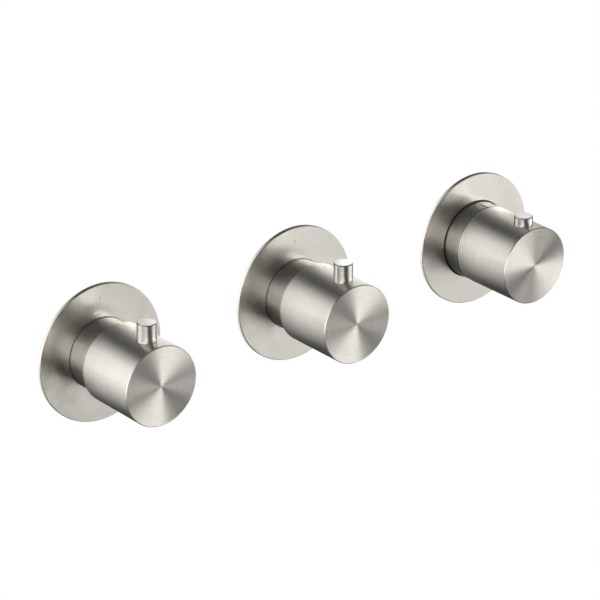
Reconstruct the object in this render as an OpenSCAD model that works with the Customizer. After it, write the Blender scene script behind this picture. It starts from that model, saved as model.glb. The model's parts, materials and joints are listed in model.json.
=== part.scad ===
// Concealed thermostatic shower valve: two stop handles and a temperature handle on one wall.
// X runs to the right as seen from the room, Y into the wall and Z up. The origin lies on the
// finished wall, on the middle handle's axis. Lengths are millimetres, angles are degrees, and
// an angle round a handle is counted from 12 o'clock, anticlockwise as seen from the room.

/* [Layout] */
// Distance between neighbouring handle axes
handle_pitch = 117; // [112:1:140]
// Depth of the rail's rear face behind the finished wall
rail_depth = 75; // [75:1:90]
// How far the valve necks stand out of the wall
neck_reach = 1; // [0.5:0.5:3]

/* [Roses] */
// Diameter of the roses
rose_d = 70; // [64:1:80]
// Thickness of the roses
rose_t = 2; // [1.5:0.1:3]
// Chamfer round the front of a rose
rose_chamfer = 0.3; // [0.1:0.1:0.6]
// Gap between a stop sleeve and its rose
stop_rose_gap = 0.3; // [0.2:0.1:0.6]
// Gap between the temperature sleeve and its rose
temp_rose_gap = 0.75; // [0.6:0.05:1]
// Width of the foam gasket behind a rose
gasket_w = 4; // [2:0.5:6]
// Thickness of the foam gasket behind a rose
gasket_t = 0.8; // [0.4:0.1:1]
// Width of the rim outside the gasket
gasket_rim_w = 1.4; // [1:0.1:2]
// Wire diameter of the grip ring under a stop rose
stop_grip_wire_d = 1.1; // [0.9:0.1:1.3]
// Wire diameter of the grip ring under the temperature rose
temp_grip_wire_d = 1.6; // [1.5:0.1:1.8]

/* [Sleeves] */
// Outer diameter of the stop sleeves
stop_sleeve_d = 36; // [35:0.5:37]
// Reach of the stop sleeves ahead of the wall
stop_sleeve_reach = 21.5; // [20:0.5:24]
// Wall of the stop sleeves ahead of the neck
stop_sleeve_wall = 2.5; // [1.8:0.1:2.5]
// Outer diameter of the temperature sleeve
temp_sleeve_d = 40; // [39:0.2:40]
// Reach of the temperature sleeve ahead of the wall
temp_sleeve_reach = 11.8; // [11.4:0.2:13]
// Wall of the temperature sleeve ahead of the neck
temp_sleeve_wall = 2; // [1.5:0.1:2]
// Length of a stop sleeve over its neck
stop_sleeve_lap = 15; // [10:1:20]
// Length of the temperature sleeve over its neck
temp_sleeve_lap = 11; // [6:1:16]
// Fit between a sleeve and its neck
sleeve_fit = 0.1; // [0.05:0.05:0.15]
// Width of the index slot in the temperature sleeve
index_slot_w = 0.8; // [0.5:0.1:1.5]
// Length of the index slot
index_slot_l = 6.6; // [4:0.2:8]
// Depth of the index slot
index_slot_depth = 0.8; // [0.4:0.1:1]

/* [Knobs] */
// Diameter of the knobs
knob_d = 40.4; // [40.2:0.2:44]
// Chamfer round a knob's front
knob_front_chamfer = 0.35; // [0.2:0.05:1]
// Chamfer round a knob's rear
knob_rear_chamfer = 0.3; // [0.2:0.05:0.6]
// Reach of the stop knobs' faces ahead of the wall
stop_knob_reach = 51; // [50:0.5:60]
// How far a stop knob overlaps its sleeve
stop_knob_lap = 5.6; // [3:0.2:8]
// Radial gap between a stop knob and its sleeve
stop_knob_gap = 0.2; // [0.15:0.05:0.4]
// Gap between the bottom of a stop knob's recess and its sleeve
stop_knob_end_gap = 0.8; // [0.4:0.1:1.5]
// Reach of the temperature knob's face ahead of the wall
temp_knob_reach = 48.5; // [47:0.5:56]
// Gap between the temperature knob and its sleeve
temp_knob_gap = 0.3; // [0.2:0.1:0.6]
// Width of the bead at the temperature knob's rear
bead_w = 1.1; // [0.8:0.1:1.4]
// Width of the groove ahead of the bead
bead_groove_w = 0.35; // [0.2:0.05:0.5]
// Depth of the groove ahead of the bead
bead_groove_depth = 0.5; // [0.3:0.1:0.8]
// Depth of the hub bore in a stop knob
hub_depth = 13.7; // [13.5:0.1:15]
// Thread diameter of the grub screws
grub_d = 5; // [4:0.5:5]
// Length of the grub screws
grub_l = 8; // [6:0.5:9]

/* [Lever and button] */
// Diameter of the stop levers
lever_d = 9.5; // [8:0.5:11]
// How far a lever stands above its knob
lever_rise = 8.9; // [6:0.1:14]
// Distance from a stop knob's face to its lever's axis
lever_setback = 10.9; // [9:0.1:11]
// Depth of the lever's seat in the knob
lever_seat_depth = 3.2; // [2:0.2:5]
// Diameter of the lever's stud
lever_stud_d = 5; // [4:0.5:6]
// Length of the lever's stud
lever_stud_l = 9.5; // [7:0.5:9.5]
// Chamfer round the top of a lever or the button
pin_chamfer = 0.4; // [0.2:0.1:0.8]
// Diameter of the override button
button_d = 9.5; // [9:0.5:10]
// How far the button stands above its knob
button_rise = 4.2; // [3.5:0.1:6]
// Distance from the temperature knob's face to the button's axis
button_setback = 9.3; // [8:0.1:10]
// Travel of the override button
button_travel = 3; // [2:0.25:3]
// Radial gap round the button
button_fit = 0.08; // [0.05:0.01:0.1]
// Length of the button inside its knob
button_sunk_l = 9.2; // [8:0.2:9.2]

/* [Stop valves] */
// Diameter of the stop valve bodies
stop_chest_d = 36; // [36:1:42]
// Depth at which a stop valve body widens behind the wall
stop_chest_depth = 28; // [24:1:29]
// Diameter of the stop valve necks
stop_neck_d = 30; // [28:0.5:30]
// Depth of a stop cartridge's seat behind the neck's face
stop_seat_depth = 53; // [52:0.5:53]
// Diameter of a stop cartridge's bore
stop_bore_d = 20; // [19.6:0.2:20.2]
// Thread diameter of a stop cartridge
stop_gland_d = 21; // [20.6:0.2:24]
// Thread length of a stop cartridge
stop_gland_l = 13; // [9:1:15]
// Width across flats of a stop cartridge
stop_hex_af = 26; // [24:0.5:26]
// Thickness of every cartridge hexagon
hex_t = 6; // [5:0.5:6]
// Diameter of the stop spindles
spindle_d = 9.8; // [9:0.1:9.8]
// Diameter of the splines on every spindle
spline_d = 8; // [7:0.2:8]
// Number of teeth on a spline
spline_teeth = 20; // [16:1:24]
// Depth of the spline teeth
spline_tooth_depth = 0.4; // [0.3:0.05:0.5]
// Running clearance round a spindle
spindle_fit = 0.06; // [0.03:0.01:0.1]
// Thickness of the fixed ceramic disc
fixed_disc_t = 3; // [2.5:0.1:3.5]
// Thickness of the moving ceramic disc
moving_disc_t = 3; // [2.5:0.1:3.5]
// Gap between the two ceramic discs
disc_film = 0.02; // [0.01:0.01:0.05]
// Height of the spindle's carrier
carrier_t = 6; // [5:0.5:7]
// Thickness of the cartridge's seat seal
seat_seal_t = 2; // [1.5:0.1:2.5]
// Inner radius of the discs' ports
port_inner_r = 2.5; // [2:0.1:3]
// Outer radius of the discs' ports
port_outer_r = 6.3; // [5.5:0.1:6.5]
// Angle that each port of a disc covers
port_angle = 84; // [60:2:86]
// Turn of a stop handle from shut to open
stop_turn = 90; // [60:5:90]

/* [Ports and tubes] */
// Minor diameter of the half inch ports
port_tap_d = 18.64; // [18.4:0.02:18.8]
// Thread depth of the half inch ports
port_tap_l = 14; // [12:1:16]
// Width across flats of the port bosses
port_af = 28; // [27:0.5:30]
// Length of the hexagon on a port boss
port_hex_l = 12; // [10:1:14]
// Height of the outlets above the handle axes
outlet_h = 40; // [38:1:60]
// Waterway diameter of the outlets and legs
waterway_d = 13; // [11:0.5:13]
// Diameter of the bosses behind the port hexagons
boss_d = 26; // [25:0.5:27]
// Bore of the gallery between the bodies
gallery_d = 11; // [9:0.5:11]
// Outer diameter of the link tubes
link_d = 18; // [17:0.5:18]
// Length of a link tube in its socket
link_lap = 13.5; // [12:0.5:15]
// Fit of a link tube in its socket
link_fit = 0.05; // [0.03:0.01:0.1]
// Reach of the gallery boss from a stop valve's axis
stop_boss_reach = 34; // [32:1:38]
// Reach of the gallery boss from the thermostat's axis
temp_boss_reach = 55; // [48:1:56]
// Wire diameter of the seals on the link tubes
link_seal_d = 1.36; // [1.2:0.02:1.5]

/* [Thermostat] */
// Diameter of the thermostat body
temp_chest_d = 42; // [40:1:48]
// Depth at which the thermostat body widens behind the wall
temp_chest_depth = 22; // [18:1:23]
// Diameter of the thermostat neck
temp_neck_d = 34; // [33:0.5:34]
// Depth of the thermostat's seat behind the neck's face
temp_seat_depth = 53; // [52:0.5:53]
// Diameter of the thermostat's bore
temp_bore_d = 28; // [27.6:0.2:28.2]
// Thread diameter of the thermostat housing
temp_gland_d = 30; // [29:0.2:30.4]
// Thread length of the thermostat housing
temp_gland_l = 9; // [7:1:11]
// Width across flats of the thermostat housing
temp_hex_af = 29; // [27:0.5:29]
// Diameter of the thermostat housing's nose
nose_d = 20; // [19:0.2:20.4]
// Length of the thermostat housing's nose
nose_l = 4.8; // [4:0.2:5]
// Distance from the thermostat's axis to each inlet leg
leg_offset = 30; // [30:0.5:32]
// Depth of the inlets below the handle axes
inlet_drop = 58; // [58:1:80]
// Height of the leg tops above the handle axes
leg_top_h = 12; // [12:1:20]
// Width of the hot and cold slots
slot_w = 2.6; // [2:0.1:2.8]
// Gap that the shuttle leaves to the hot water
hot_gap = 0.85; // [0.8:0.05:1.2]
// Gap that the shuttle leaves to the cold water
cold_gap = 0.55; // [0.3:0.05:0.8]
// Length of the mixing shuttle
shuttle_l = 10.6; // [10:0.1:11]
// Diameter of the mixing shuttle
shuttle_d = 21.6; // [21:0.1:21.8]
// Running clearance round the shuttle
shuttle_fit = 0.08; // [0.05:0.01:0.1]
// Length of the end cap
cap_l = 5.4; // [5:0.1:6]
// Diameter of the wax bulb
bulb_d = 10; // [8:0.5:10]
// Turn from 38 degrees to full cold
cold_turn = 180; // [150:5:180]
// Turn from 38 degrees to full hot
hot_turn = 50; // [30:5:50]
// Diameter of the temperature spindle's lifting thread
lift_thread_d = 8; // [7:0.2:8]

/* [Check valves] */
// Diameter of the check valve bore in a leg
check_bore_d = 17; // [16.6:0.2:17.4]
// Fit of a check valve housing in its leg
check_fit = 0.1; // [0.05:0.05:0.15]
// Length of a check valve housing
check_l = 19; // [18:0.5:20]
// Lift of a check valve poppet
poppet_lift = 3; // [2:0.25:4]
// Diameter of a check valve poppet
poppet_d = 10.8; // [9.6:0.2:11.6]
// Diameter of the poppet's stem
stem_d = 3; // [2.4:0.1:3.4]
// Length of an inlet strainer
strainer_l = 3.8; // [3:0.2:4.2]

/* [Rail] */
// Length of the mounting rail
rail_l = 280; // [280:2:320]
// Height of the mounting rail
rail_h = 64; // [62:1:80]
// Thickness of the mounting rail
rail_t = 3; // [3:0.5:4]
// Corner radius of the mounting rail
rail_corner_r = 8; // [3:1:14]
// Distance from the rail's long edges to the axes of its slots
rail_slot_edge = 8; // [7:0.5:9]
// Width of a rail slot
rail_slot_w = 6.5; // [5:0.5:7]
// Length of a rail slot
rail_slot_l = 14; // [10:1:20]
// Thread diameter of the rail screws
rail_screw_d = 4; // [3:0.5:4]
// Length of the rail screws
rail_screw_l = 10; // [8:0.5:10]
// Height of the rail screws above and below the handle axes
rail_screw_h = 14; // [13.6:0.1:14.4]

/* [Hidden] */

// Facets of the round shapes
round_fn = 96;
wire_fn = 24;
// Overrun of every cut
cut = 0.5;
// How far joined solids run into each other
weld = 0.5;

// Finishes
brushed_nickel = [0.78, 0.76, 0.73];
cast_brass = [0.72, 0.58, 0.36];
turned_brass = [0.80, 0.66, 0.40];
zinc_steel = [0.70, 0.71, 0.73];
black_rubber = [0.12, 0.12, 0.12];
grey_foam = [0.45, 0.45, 0.46];
white_ceramic = [0.93, 0.92, 0.88];
pale_plastic = [0.86, 0.86, 0.84];
spring_steel = [0.55, 0.56, 0.58];
copper = [0.75, 0.48, 0.32];

// Places along X
left_x = -handle_pitch;
temp_x = handle_pitch;
hot_leg_x = temp_x - leg_offset;
cold_leg_x = temp_x + leg_offset;

// Places along Y that every valve shares
neck_front = -neck_reach;
hex_front = neck_front - hex_t;
chest_rear = rail_depth - rail_t;
gallery_y = chest_rear - boss_d / 2;
chamber_spare = 2;
chamber_rear = gallery_y + gallery_d / 2 + chamber_spare;
chest_chamfer = 1.5;
neck_chamfer = 0.6;

// Stop cartridge, from its seat forwards
gland_fit = 0.05;
shoulder_gap = 0.2;
cartridge_fit = 0.1;
seat_y = neck_front + stop_seat_depth;
housing_rear = seat_y - seat_seal_t;
fixed_disc_front = housing_rear - fixed_disc_t;
moving_disc_rear = fixed_disc_front - disc_film;
moving_disc_front = moving_disc_rear - moving_disc_t;
carrier_front = moving_disc_front - carrier_t;
outlet_y = moving_disc_front - carrier_t / 2;
gland_rear = neck_front + stop_gland_l;
stop_chamber_r = 7;
stop_groove_r = 12;
stop_groove_w = 8;
cartridge_r = stop_bore_d / 2 - cartridge_fit;
cartridge_wall = 1.9;
disc_cavity_r = cartridge_r - cartridge_wall;
disc_fit = 0.1;
moving_disc_fit = 0.3;
ear_w = 4;
ear_reach = 1.4;
ear_fit = 0.1;
window_angle = 56;
window_depth_share = 0.6;
window_waist_r = cartridge_r - window_depth_share * cartridge_wall;
window_margin = 2;
hub_r = spindle_d / 2;
bearing_r = hub_r + spindle_fit;
dog_w = 3;
dog_h = 1;
dog_inset = 2;
dog_inner_r = port_inner_r + dog_inset;
dog_fit = 0.08;
carrier_fit = 0.3;
carrier_arm_angle = 60;

// Quarter turn stop on the cartridge's hexagon
stop_h = 2;
stop_ring_gap = 1.3;
stop_ring_inner_r = hub_r + stop_ring_gap;
stop_ring_rim = 4;
stop_ring_outer_r = stop_hex_af / 2 - stop_ring_rim;
lug_angle = 60;
lug_play = 1;
lug_gap = 0.1;
clip_t = 0.7;
clip_gap = 0.1;
clip_groove_depth = 1;
clip_reach = 2.1;
clip_outer_r = hub_r + clip_reach;
clip_mouth_w = 4.4;
clip_front = hex_front - stop_h - clip_gap - clip_t;
spline_tip_gap = 2;
seal_groove_fit = 0.25;
seal_squeeze = 0.02;

// O-rings of the stop cartridges
cartridge_seal_d = 1.4;
cartridge_seal_setback = 20;
cartridge_seal_y = gland_rear + cartridge_seal_setback;
spindle_seal_d = 1.3;
spindle_seal_pitch = 6;
spindle_seal_setback = 6;
stop_spindle_seal_y = gland_rear + spindle_seal_setback;

// Trims
rose_r = rose_d / 2;
stop_sleeve_r = stop_sleeve_d / 2;
temp_sleeve_r = temp_sleeve_d / 2;
stop_rose_hole_r = stop_sleeve_r + stop_rose_gap;
temp_rose_hole_r = temp_sleeve_r + temp_rose_gap;
gasket_fit = 0.1;
gasket_outer_r = rose_r - gasket_rim_w;
gasket_inner_r = gasket_outer_r - gasket_w;
grip_gap = 0.1;
sleeve_front_chamfer = 0.3;
knob_r = knob_d / 2;
stop_knob_rear = -stop_sleeve_reach + stop_knob_lap;
stop_recess_y = -stop_sleeve_reach - stop_knob_end_gap;
stop_knob_face = -stop_knob_reach;
stop_hub_y = stop_recess_y - hub_depth;
hub_bore_r = 7;
adaptor_fit = 0.1;
adaptor_end_gap = 0.5;
stop_adaptor_l = 12;
adaptor_bore_fit = 0.05;
adaptor_r = hub_bore_r - adaptor_fit;
stop_tip_y = stop_hub_y + spline_tip_gap;
grub_fit = 0.05;
grub_socket_af = 2.5;
grub_socket_depth = 2.5;
stop_grub_y = stop_recess_y - hub_depth / 2;
lever_y = stop_knob_face + lever_setback;
lever_seat_z = knob_r - lever_seat_depth;
lever_fit = 0.05;
lever_stud_end_gap = 0.3;
button_y = -temp_knob_reach + button_setback;
temp_knob_face = -temp_knob_reach;
temp_knob_rear = -temp_sleeve_reach - temp_knob_gap;
bead_inset = 0.2;

// Temperature stop: a ring with a lug on the housing's nose, and a rib in the knob
nose_front = hex_front - nose_l;
stop_ring_t = 3.5;
stop_ring_fit = 0.05;
stop_ring_front = hex_front - stop_ring_t;
cavity_r = 16;
cavity_depth = 4.9;
cavity_y = temp_knob_rear - cavity_depth;
rib_radial = 1.7;
rib_inner_r = cavity_r - rib_radial;
rib_angle = 20;
rib_end_gap = 0.3;
lug_reach = 5;
lug_inner_r = rib_inner_r;
lug_fit = 0.2;
lug_outer_r = cavity_r - lug_fit;
temp_lug_play = 1;

// Override button and its spring
button_r = button_d / 2;
button_top_z = knob_r + button_rise;
button_foot_z = knob_r - button_sunk_l;
button_pocket_r = 3;
button_pocket_depth = 3;
button_end_gap = 0.5;
button_hole_z = button_foot_z - button_travel - button_end_gap;
override_well_depth = 3.5;
override_seat_z = button_hole_z - override_well_depth;
override_bore_r = 3.1;
override_coil_r = 2.2;
override_wire_d = 0.6;
override_turns = 6;
tail_w = 2.8;
tail_h = 2.5;
tail_fit = 0.2;
tail_foot_rise = 0.5;
tail_foot_z = button_foot_z + tail_foot_rise;
tail_tip_gap = 3;
tail_tip_y = stop_ring_front - tail_tip_gap;
lock_lug_gap = 0.3;
lock_lug_w = 3;
lock_lug_inset = 0.5;
lock_lug_inner_r = nose_d / 2 + lock_lug_inset;
lock_lug_side_gap = 0.3;
lock_lug_outer_r = lug_inner_r - lock_lug_side_gap;

// Hub bore of the temperature knob, which ends a web behind the override spring
hub_web = 6.1;
temp_hub_y = button_y + override_bore_r + hub_web;
temp_tip_spare = 1;
temp_tip_y = temp_hub_y + spline_tip_gap + temp_tip_spare;
temp_grub_y = (cavity_y + temp_hub_y) / 2;
temp_adaptor_l = cavity_y - temp_hub_y - 2 * adaptor_end_gap;

// Thermostat housing, from its rear forwards
temp_seat_y = neck_front + temp_seat_depth;
temp_gland_rear = neck_front + temp_gland_l;
temp_housing_r = temp_bore_d / 2 - cartridge_fit;
temp_housing_rear = temp_seat_y - cartridge_fit;
cold_seat_y = temp_housing_rear - cap_l;
shuttle_rear = cold_seat_y - cold_gap;
shuttle_front = shuttle_rear - shuttle_l;
hot_seat_y = shuttle_front - hot_gap;
hot_slot_y = hot_seat_y + slot_w / 2;
cold_slot_y = cold_seat_y - slot_w / 2;
leg_y = (hot_slot_y + cold_slot_y) / 2;
shuttle_r = shuttle_d / 2;
guide_r = shuttle_r + shuttle_fit;
pocket_depth = 1.3;
pocket_r = guide_r + pocket_depth;
cap_step = 0.5;
cap_r = guide_r + cap_step;
cap_fit = 0.05;
temp_groove_w = 5.8;
temp_groove_depth = 2;
temp_groove_r = temp_bore_d / 2 + temp_groove_depth;
cross_drill_r = 2.8;
mixed_r = 10.5;
slot_count = 4;
slot_angle = 60;
housing_seal_d = 1.4;
front_seal_setback = 4;
rear_seal_setback = 1.8;
housing_seal_ys = [hot_seat_y - front_seal_setback, leg_y, temp_housing_rear - rear_seal_setback];
temp_spindle_seal_ys = [neck_front, neck_front + spindle_seal_pitch];

// Lift nut, wax element and shuttle
nut_chamber_depth = 11;
nut_chamber_y = neck_front + nut_chamber_depth;
nut_chamber_r = 9.2;
nut_fit = 0.1;
nut_r = nut_chamber_r - nut_fit;
flange_r = 6;
flange_gap = 0.2;
flange_t = 2.8;
flange_y = nut_chamber_y + flange_gap;
nut_end_gap = 2;
nut_front = flange_y + flange_t + nut_end_gap;
nut_web = 6;
nut_l = 14;
nut_cup_r = 7;
nut_key_w = 3;
nut_key_reach = 1.1;
nut_key_fit = 0.1;
nut_key_spare = 2;
thread_fit = 0.05;
thread_end_gap = 0.5;
pusher_t = 2;
pusher_reach = 1;
pusher_fit = 0.1;
pusher_rear = nut_front + nut_l + pusher_reach;
pusher_front = pusher_rear - pusher_t;
overload_coil_r = 5.2;
overload_wire_d = 1.2;
overload_turns = 3.5;
shuttle_hub_setback = 4.65;
hub_front = shuttle_front + shuttle_hub_setback;
hub_t = 2;
hub_ring_w = 2.2;
wax_collar_t = 3;
wax_collar_r = 6.2;
piston_r = 2;
bulb_fit = 0.05;
bulb_end_gap = 7.5;
bulb_rear = chamber_rear - bulb_end_gap;
shuttle_wall = 1.5;
spoke_count = 3;
spoke_w = 2.4;
shuttle_seal_d = 0.9;
return_coil_r = 6.35;
return_wire_d = 1;
return_turns = 4;
spider_t = 1.9;
spider_bore_gap = 0.4;
spider_inner_r = bulb_d / 2 + spider_bore_gap;
spider_outer_r = return_coil_r + return_wire_d;
cap_bore_r = 8.7;
spider_front = temp_housing_rear - spider_t;

// Inlet legs and their check valves
leg_bottom = -inlet_drop;
inlet_shoulder_z = leg_bottom + port_tap_l;
leg_chamfer = 1;
strainer_end_gap = 0.7;
strainer_bottom = inlet_shoulder_z + strainer_end_gap;
strainer_top = strainer_bottom + strainer_l;
strainer_gap = 0.3;
check_gap = 0.2;
check_bottom = strainer_top + strainer_gap;
check_top = check_bottom + check_l;
check_bore_top = check_top + check_gap;
check_r = check_bore_d / 2 - check_fit;
check_wall = 1.6;
check_cavity_r = check_r - check_wall;
check_seat_t = 2.5;
check_seat_r = 4.2;
check_seat_z = check_bottom + check_seat_t;
check_spider_t = 2.5;
check_spider_z = check_top - check_spider_t;
check_film = 0.02;
poppet_t = 1.5;
stem_fit = 0.06;
stem_spare = 0.3;
stem_collar_r = 2.2;
lift_gap = 0.05;
stem_stop_z = check_spider_z - poppet_lift - lift_gap;
check_hole_r = 1.7;
check_hole_place_r = 4.1;
check_coil_r = 2.9;
check_wire_d = 0.6;
check_turns = 6;
check_seal_d = 1.2;
strainer_wall = 1;
strainer_hole_r = 0.9;
strainer_hole_pitch = 3;
plug_r = 7;
plug_l = 7;
plug_head_r = 9;
plug_head_t = 2.5;
plug_socket_af = 8;
plug_socket_depth = 5;
plug_fit = 0.05;

// Rail slots and screws
rail_slot_rise = rail_h - 2 * rail_slot_edge;
screw_fit = 0.05;
screw_head_r = 3.8;
screw_head_t = 2;
screw_sink = 0.1;
screw_socket_af = 2.5;
screw_socket_depth = 1.4;
screw_hole_spare = 0.5;

// Round and turned shapes
module bar(r, from, to)
    translate([0, 0, from]) cylinder(r = r, h = to - from, $fn = round_fn);

module along_y() rotate([-90, 0, 0]) children();

module y_bar(r, from, to) along_y() bar(r, from, to);

module x_bar(r, from, to) rotate([0, 90, 0]) bar(r, from, to);

module tube(outer_r, inner_r, from, to) difference() {
    bar(outer_r, from, to);
    bar(inner_r, from - cut, to + cut);
}

module y_tube(outer_r, inner_r, from, to) along_y() tube(outer_r, inner_r, from, to);

module turned(points) rotate_extrude($fn = round_fn) polygon(points);

// A bar with a chamfer at each end
module trimmed_bar(r, from, to, from_chamfer, to_chamfer) turned([
    [0, from], [r - from_chamfer, from], [r, from + from_chamfer],
    [r, to - to_chamfer], [r - to_chamfer, to], [0, to]
]);

// A hexagonal prism along Z with two flats facing X
module hexagon(af, from, to)
    translate([0, 0, from]) rotate([0, 0, 30])
        cylinder(r = af / 2 / cos(30), h = to - from, $fn = 6);

module o_ring(mean_r, wire_d, at) translate([0, 0, at])
    rotate_extrude($fn = round_fn) translate([mean_r, 0]) circle(d = wire_d, $fn = wire_fn);

// A groove for an O-ring, cut into a bar of radius outer_r
module seal_groove(outer_r, wire_d, at)
    tube(outer_r + cut, outer_r - wire_d - seal_squeeze,
        at - wire_d / 2 - seal_groove_fit, at + wire_d / 2 + seal_groove_fit);

// A wedge round the handle's axis, between two angles
pie_steps = 8;
pie_overreach = 1.5;
module pie(r, from_angle, to_angle, from, to)
    translate([0, to, 0]) rotate([90, 0, 0]) linear_extrude(height = to - from) polygon(concat(
        [[0, 0]],
        [for (i = [0:pie_steps])
            let (a = from_angle + (to_angle - from_angle) * i / pie_steps)
            pie_overreach * r * [-sin(a), cos(a)]]
    ));

// A part of a ring round the handle's axis
module y_sector(outer_r, inner_r, from, to, from_angle, to_angle) intersection() {
    y_tube(outer_r, inner_r, from, to);
    pie(outer_r, from_angle, to_angle, from - cut, to + cut);
}

// A block that is centred across X and spans the given Y and Z
module block(w, from_y, to_y, from_z, to_z)
    translate([-w / 2, from_y, from_z]) cube([w, to_y - from_y, to_z - from_z]);

// A coil spring along Z as one unbroken wire
spring_sides = 6;
rings_per_turn = 12;
module coil_spring(mean_r, wire_d, from, to, turns) {
    steps = turns * rings_per_turn;
    r = wire_d / 2;
    rise = to - from - wire_d;
    points = [for (i = [0:steps], k = [0:spring_sides - 1])
        let (a = 360 * i / rings_per_turn, b = 360 * k / spring_sides)
        [(mean_r + r * cos(b)) * cos(a), (mean_r + r * cos(b)) * sin(a),
            from + r + rise * i / steps + r * sin(b)]];
    sides = [for (i = [0:steps - 1], k = [0:spring_sides - 1], half = [0, 1])
        let (next_k = (k + 1) % spring_sides, low = i * spring_sides, high = low + spring_sides)
        half == 0 ? [low + k, low + next_k, high + k] : [low + next_k, high + next_k, high + k]];
    last = steps * spring_sides;
    ends = [for (k = [1:spring_sides - 2]) each [[0, k + 1, k], [last, last + k, last + k + 1]]];
    polyhedron(points = points, faces = concat(sides, ends));
}

// The toothed end of a spindle
module spline(from, to) {
    r = spline_d / 2;
    translate([0, 0, from]) linear_extrude(height = to - from) polygon([
        for (i = [0:2 * spline_teeth - 1])
            let (a = 180 * i / spline_teeth)
            (r - (i % 2) * spline_tooth_depth) * [cos(a), sin(a)]
    ]);
}

// A half inch port: hexagon outside, tapped bore inside, along Z with its mouth at to
module port_boss(from, to) {
    bar(boss_d / 2, from, to - port_hex_l + weld);
    hexagon(port_af, to - port_hex_l, to);
}

module port_bores(from, to) {
    bar(waterway_d / 2, from, to);
    bar(port_tap_d / 2, to - port_tap_l, to + cut);
}

// Stop valve bodies
module gallery_boss(reach, side)
    translate([0, gallery_y, 0]) mirror([side < 0 ? 1 : 0, 0, 0]) x_bar(boss_d / 2, 0, reach);

module gallery_bores(reach, side)
    translate([0, gallery_y, 0]) mirror([side < 0 ? 1 : 0, 0, 0]) {
        x_bar(gallery_d / 2, 0, reach);
        x_bar(link_d / 2 + link_fit, reach - link_lap - link_fit, reach + cut);
    }

module rail_screw_holes() for (side = [-1, 1]) translate([0, 0, side * rail_screw_h])
    y_bar(rail_screw_d / 2 + screw_fit, rail_depth - rail_screw_l - screw_hole_spare,
        chest_rear + cut);

module stop_body(sides) color(cast_brass) difference() {
    union() {
        along_y() trimmed_bar(stop_chest_d / 2, stop_chest_depth, chest_rear,
            chest_chamfer, chest_chamfer);
        along_y() trimmed_bar(stop_neck_d / 2, neck_front, stop_chest_depth + weld,
            neck_chamfer, neck_chamfer / 2);
        for (side = sides) gallery_boss(stop_boss_reach, side);
        translate([0, outlet_y, 0]) port_boss(0, outlet_h);
    }
    y_bar(stop_gland_d / 2, neck_front - cut, gland_rear);
    y_bar(stop_bore_d / 2, neck_front, seat_y);
    y_bar(stop_groove_r, outlet_y - stop_groove_w / 2, outlet_y + stop_groove_w / 2);
    y_bar(stop_chamber_r, seat_y - cut, chamber_rear);
    for (side = sides) gallery_bores(stop_boss_reach, side);
    translate([0, outlet_y, 0]) port_bores(0, outlet_h);
    rail_screw_holes();
}

module left_valve_body() translate([left_x, 0, 0]) stop_body([1]);
module middle_valve_body() stop_body([-1, 1]);

// Thermostat body with its hot leg on the left and its cold leg on the right
module thermostat_body() color(cast_brass) translate([temp_x, 0, 0]) difference() {
    union() {
        along_y() trimmed_bar(temp_chest_d / 2, temp_chest_depth, chest_rear,
            chest_chamfer, chest_chamfer);
        along_y() trimmed_bar(temp_neck_d / 2, neck_front, temp_chest_depth + weld,
            neck_chamfer, neck_chamfer / 2);
        gallery_boss(temp_boss_reach, -1);
        for (side = [-1, 1]) translate([side * leg_offset, leg_y, 0]) {
            trimmed_bar(boss_d / 2, leg_bottom + port_hex_l - weld, leg_top_h,
                weld / 2, leg_chamfer);
            hexagon(port_af, leg_bottom, leg_bottom + port_hex_l);
        }
    }
    y_bar(temp_gland_d / 2, neck_front - cut, temp_gland_rear);
    y_bar(temp_bore_d / 2, neck_front, temp_seat_y);
    for (y = [hot_slot_y, cold_slot_y])
        y_bar(temp_groove_r, y - temp_groove_w / 2, y + temp_groove_w / 2);
    y_bar(mixed_r, temp_seat_y - cut, chamber_rear);
    gallery_bores(temp_boss_reach, -1);
    for (side = [-1, 1]) translate([side * leg_offset, leg_y, 0]) {
        bar(port_tap_d / 2, leg_bottom - cut, inlet_shoulder_z);
        bar(check_bore_d / 2, leg_bottom, check_bore_top);
        bar(waterway_d / 2, leg_bottom, leg_top_h - plug_l);
        bar(plug_r, leg_top_h - plug_l, leg_top_h + cut);
    }
    translate([0, hot_slot_y, 0]) x_bar(cross_drill_r, -leg_offset, 0);
    translate([0, cold_slot_y, 0]) x_bar(cross_drill_r, 0, leg_offset);
    rail_screw_holes();
}

// Link tubes between the bodies, with a seal groove near each end
link_end_gap = 0.5;
link_seal_setback = 5;
left_link_from = left_x + stop_boss_reach - link_lap + link_end_gap;
left_link_to = -stop_boss_reach + link_lap - link_end_gap;
right_link_from = -left_link_to;
right_link_to = temp_x - temp_boss_reach + link_lap - link_end_gap;

module link_tube(from, to) color(copper)
    translate([0, gallery_y, 0]) rotate([0, 90, 0]) difference() {
        bar(link_d / 2, from, to);
        bar(gallery_d / 2, from - cut, to + cut);
        for (at = [from + link_seal_setback, to - link_seal_setback])
            seal_groove(link_d / 2, link_seal_d, at);
    }

module left_link_tube() link_tube(left_link_from, left_link_to);
module right_link_tube() link_tube(right_link_from, right_link_to);

// Mounting rail
module rail_slots() {
    straight = rail_slot_l - rail_slot_w;
    for (x = [-handle_pitch / 2, handle_pitch / 2], z = [-rail_slot_rise / 2, rail_slot_rise / 2])
        translate([x, 0, z]) {
            block(straight, chest_rear - cut, rail_depth + cut, -rail_slot_w / 2, rail_slot_w / 2);
            for (end = [-straight / 2, straight / 2]) translate([end, 0, 0])
                y_bar(rail_slot_w / 2, chest_rear - cut, rail_depth + cut);
        }
}

module screw_cone(r_fit) along_y() turned([
    [0, rail_depth - screw_head_t - screw_sink], [rail_screw_d / 2 + r_fit,
        rail_depth - screw_head_t - screw_sink], [screw_head_r + r_fit, rail_depth - screw_sink],
    [screw_head_r + r_fit, rail_depth - (r_fit > 0 ? -cut : screw_sink)],
    [0, rail_depth - (r_fit > 0 ? -cut : screw_sink)]
]);

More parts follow.
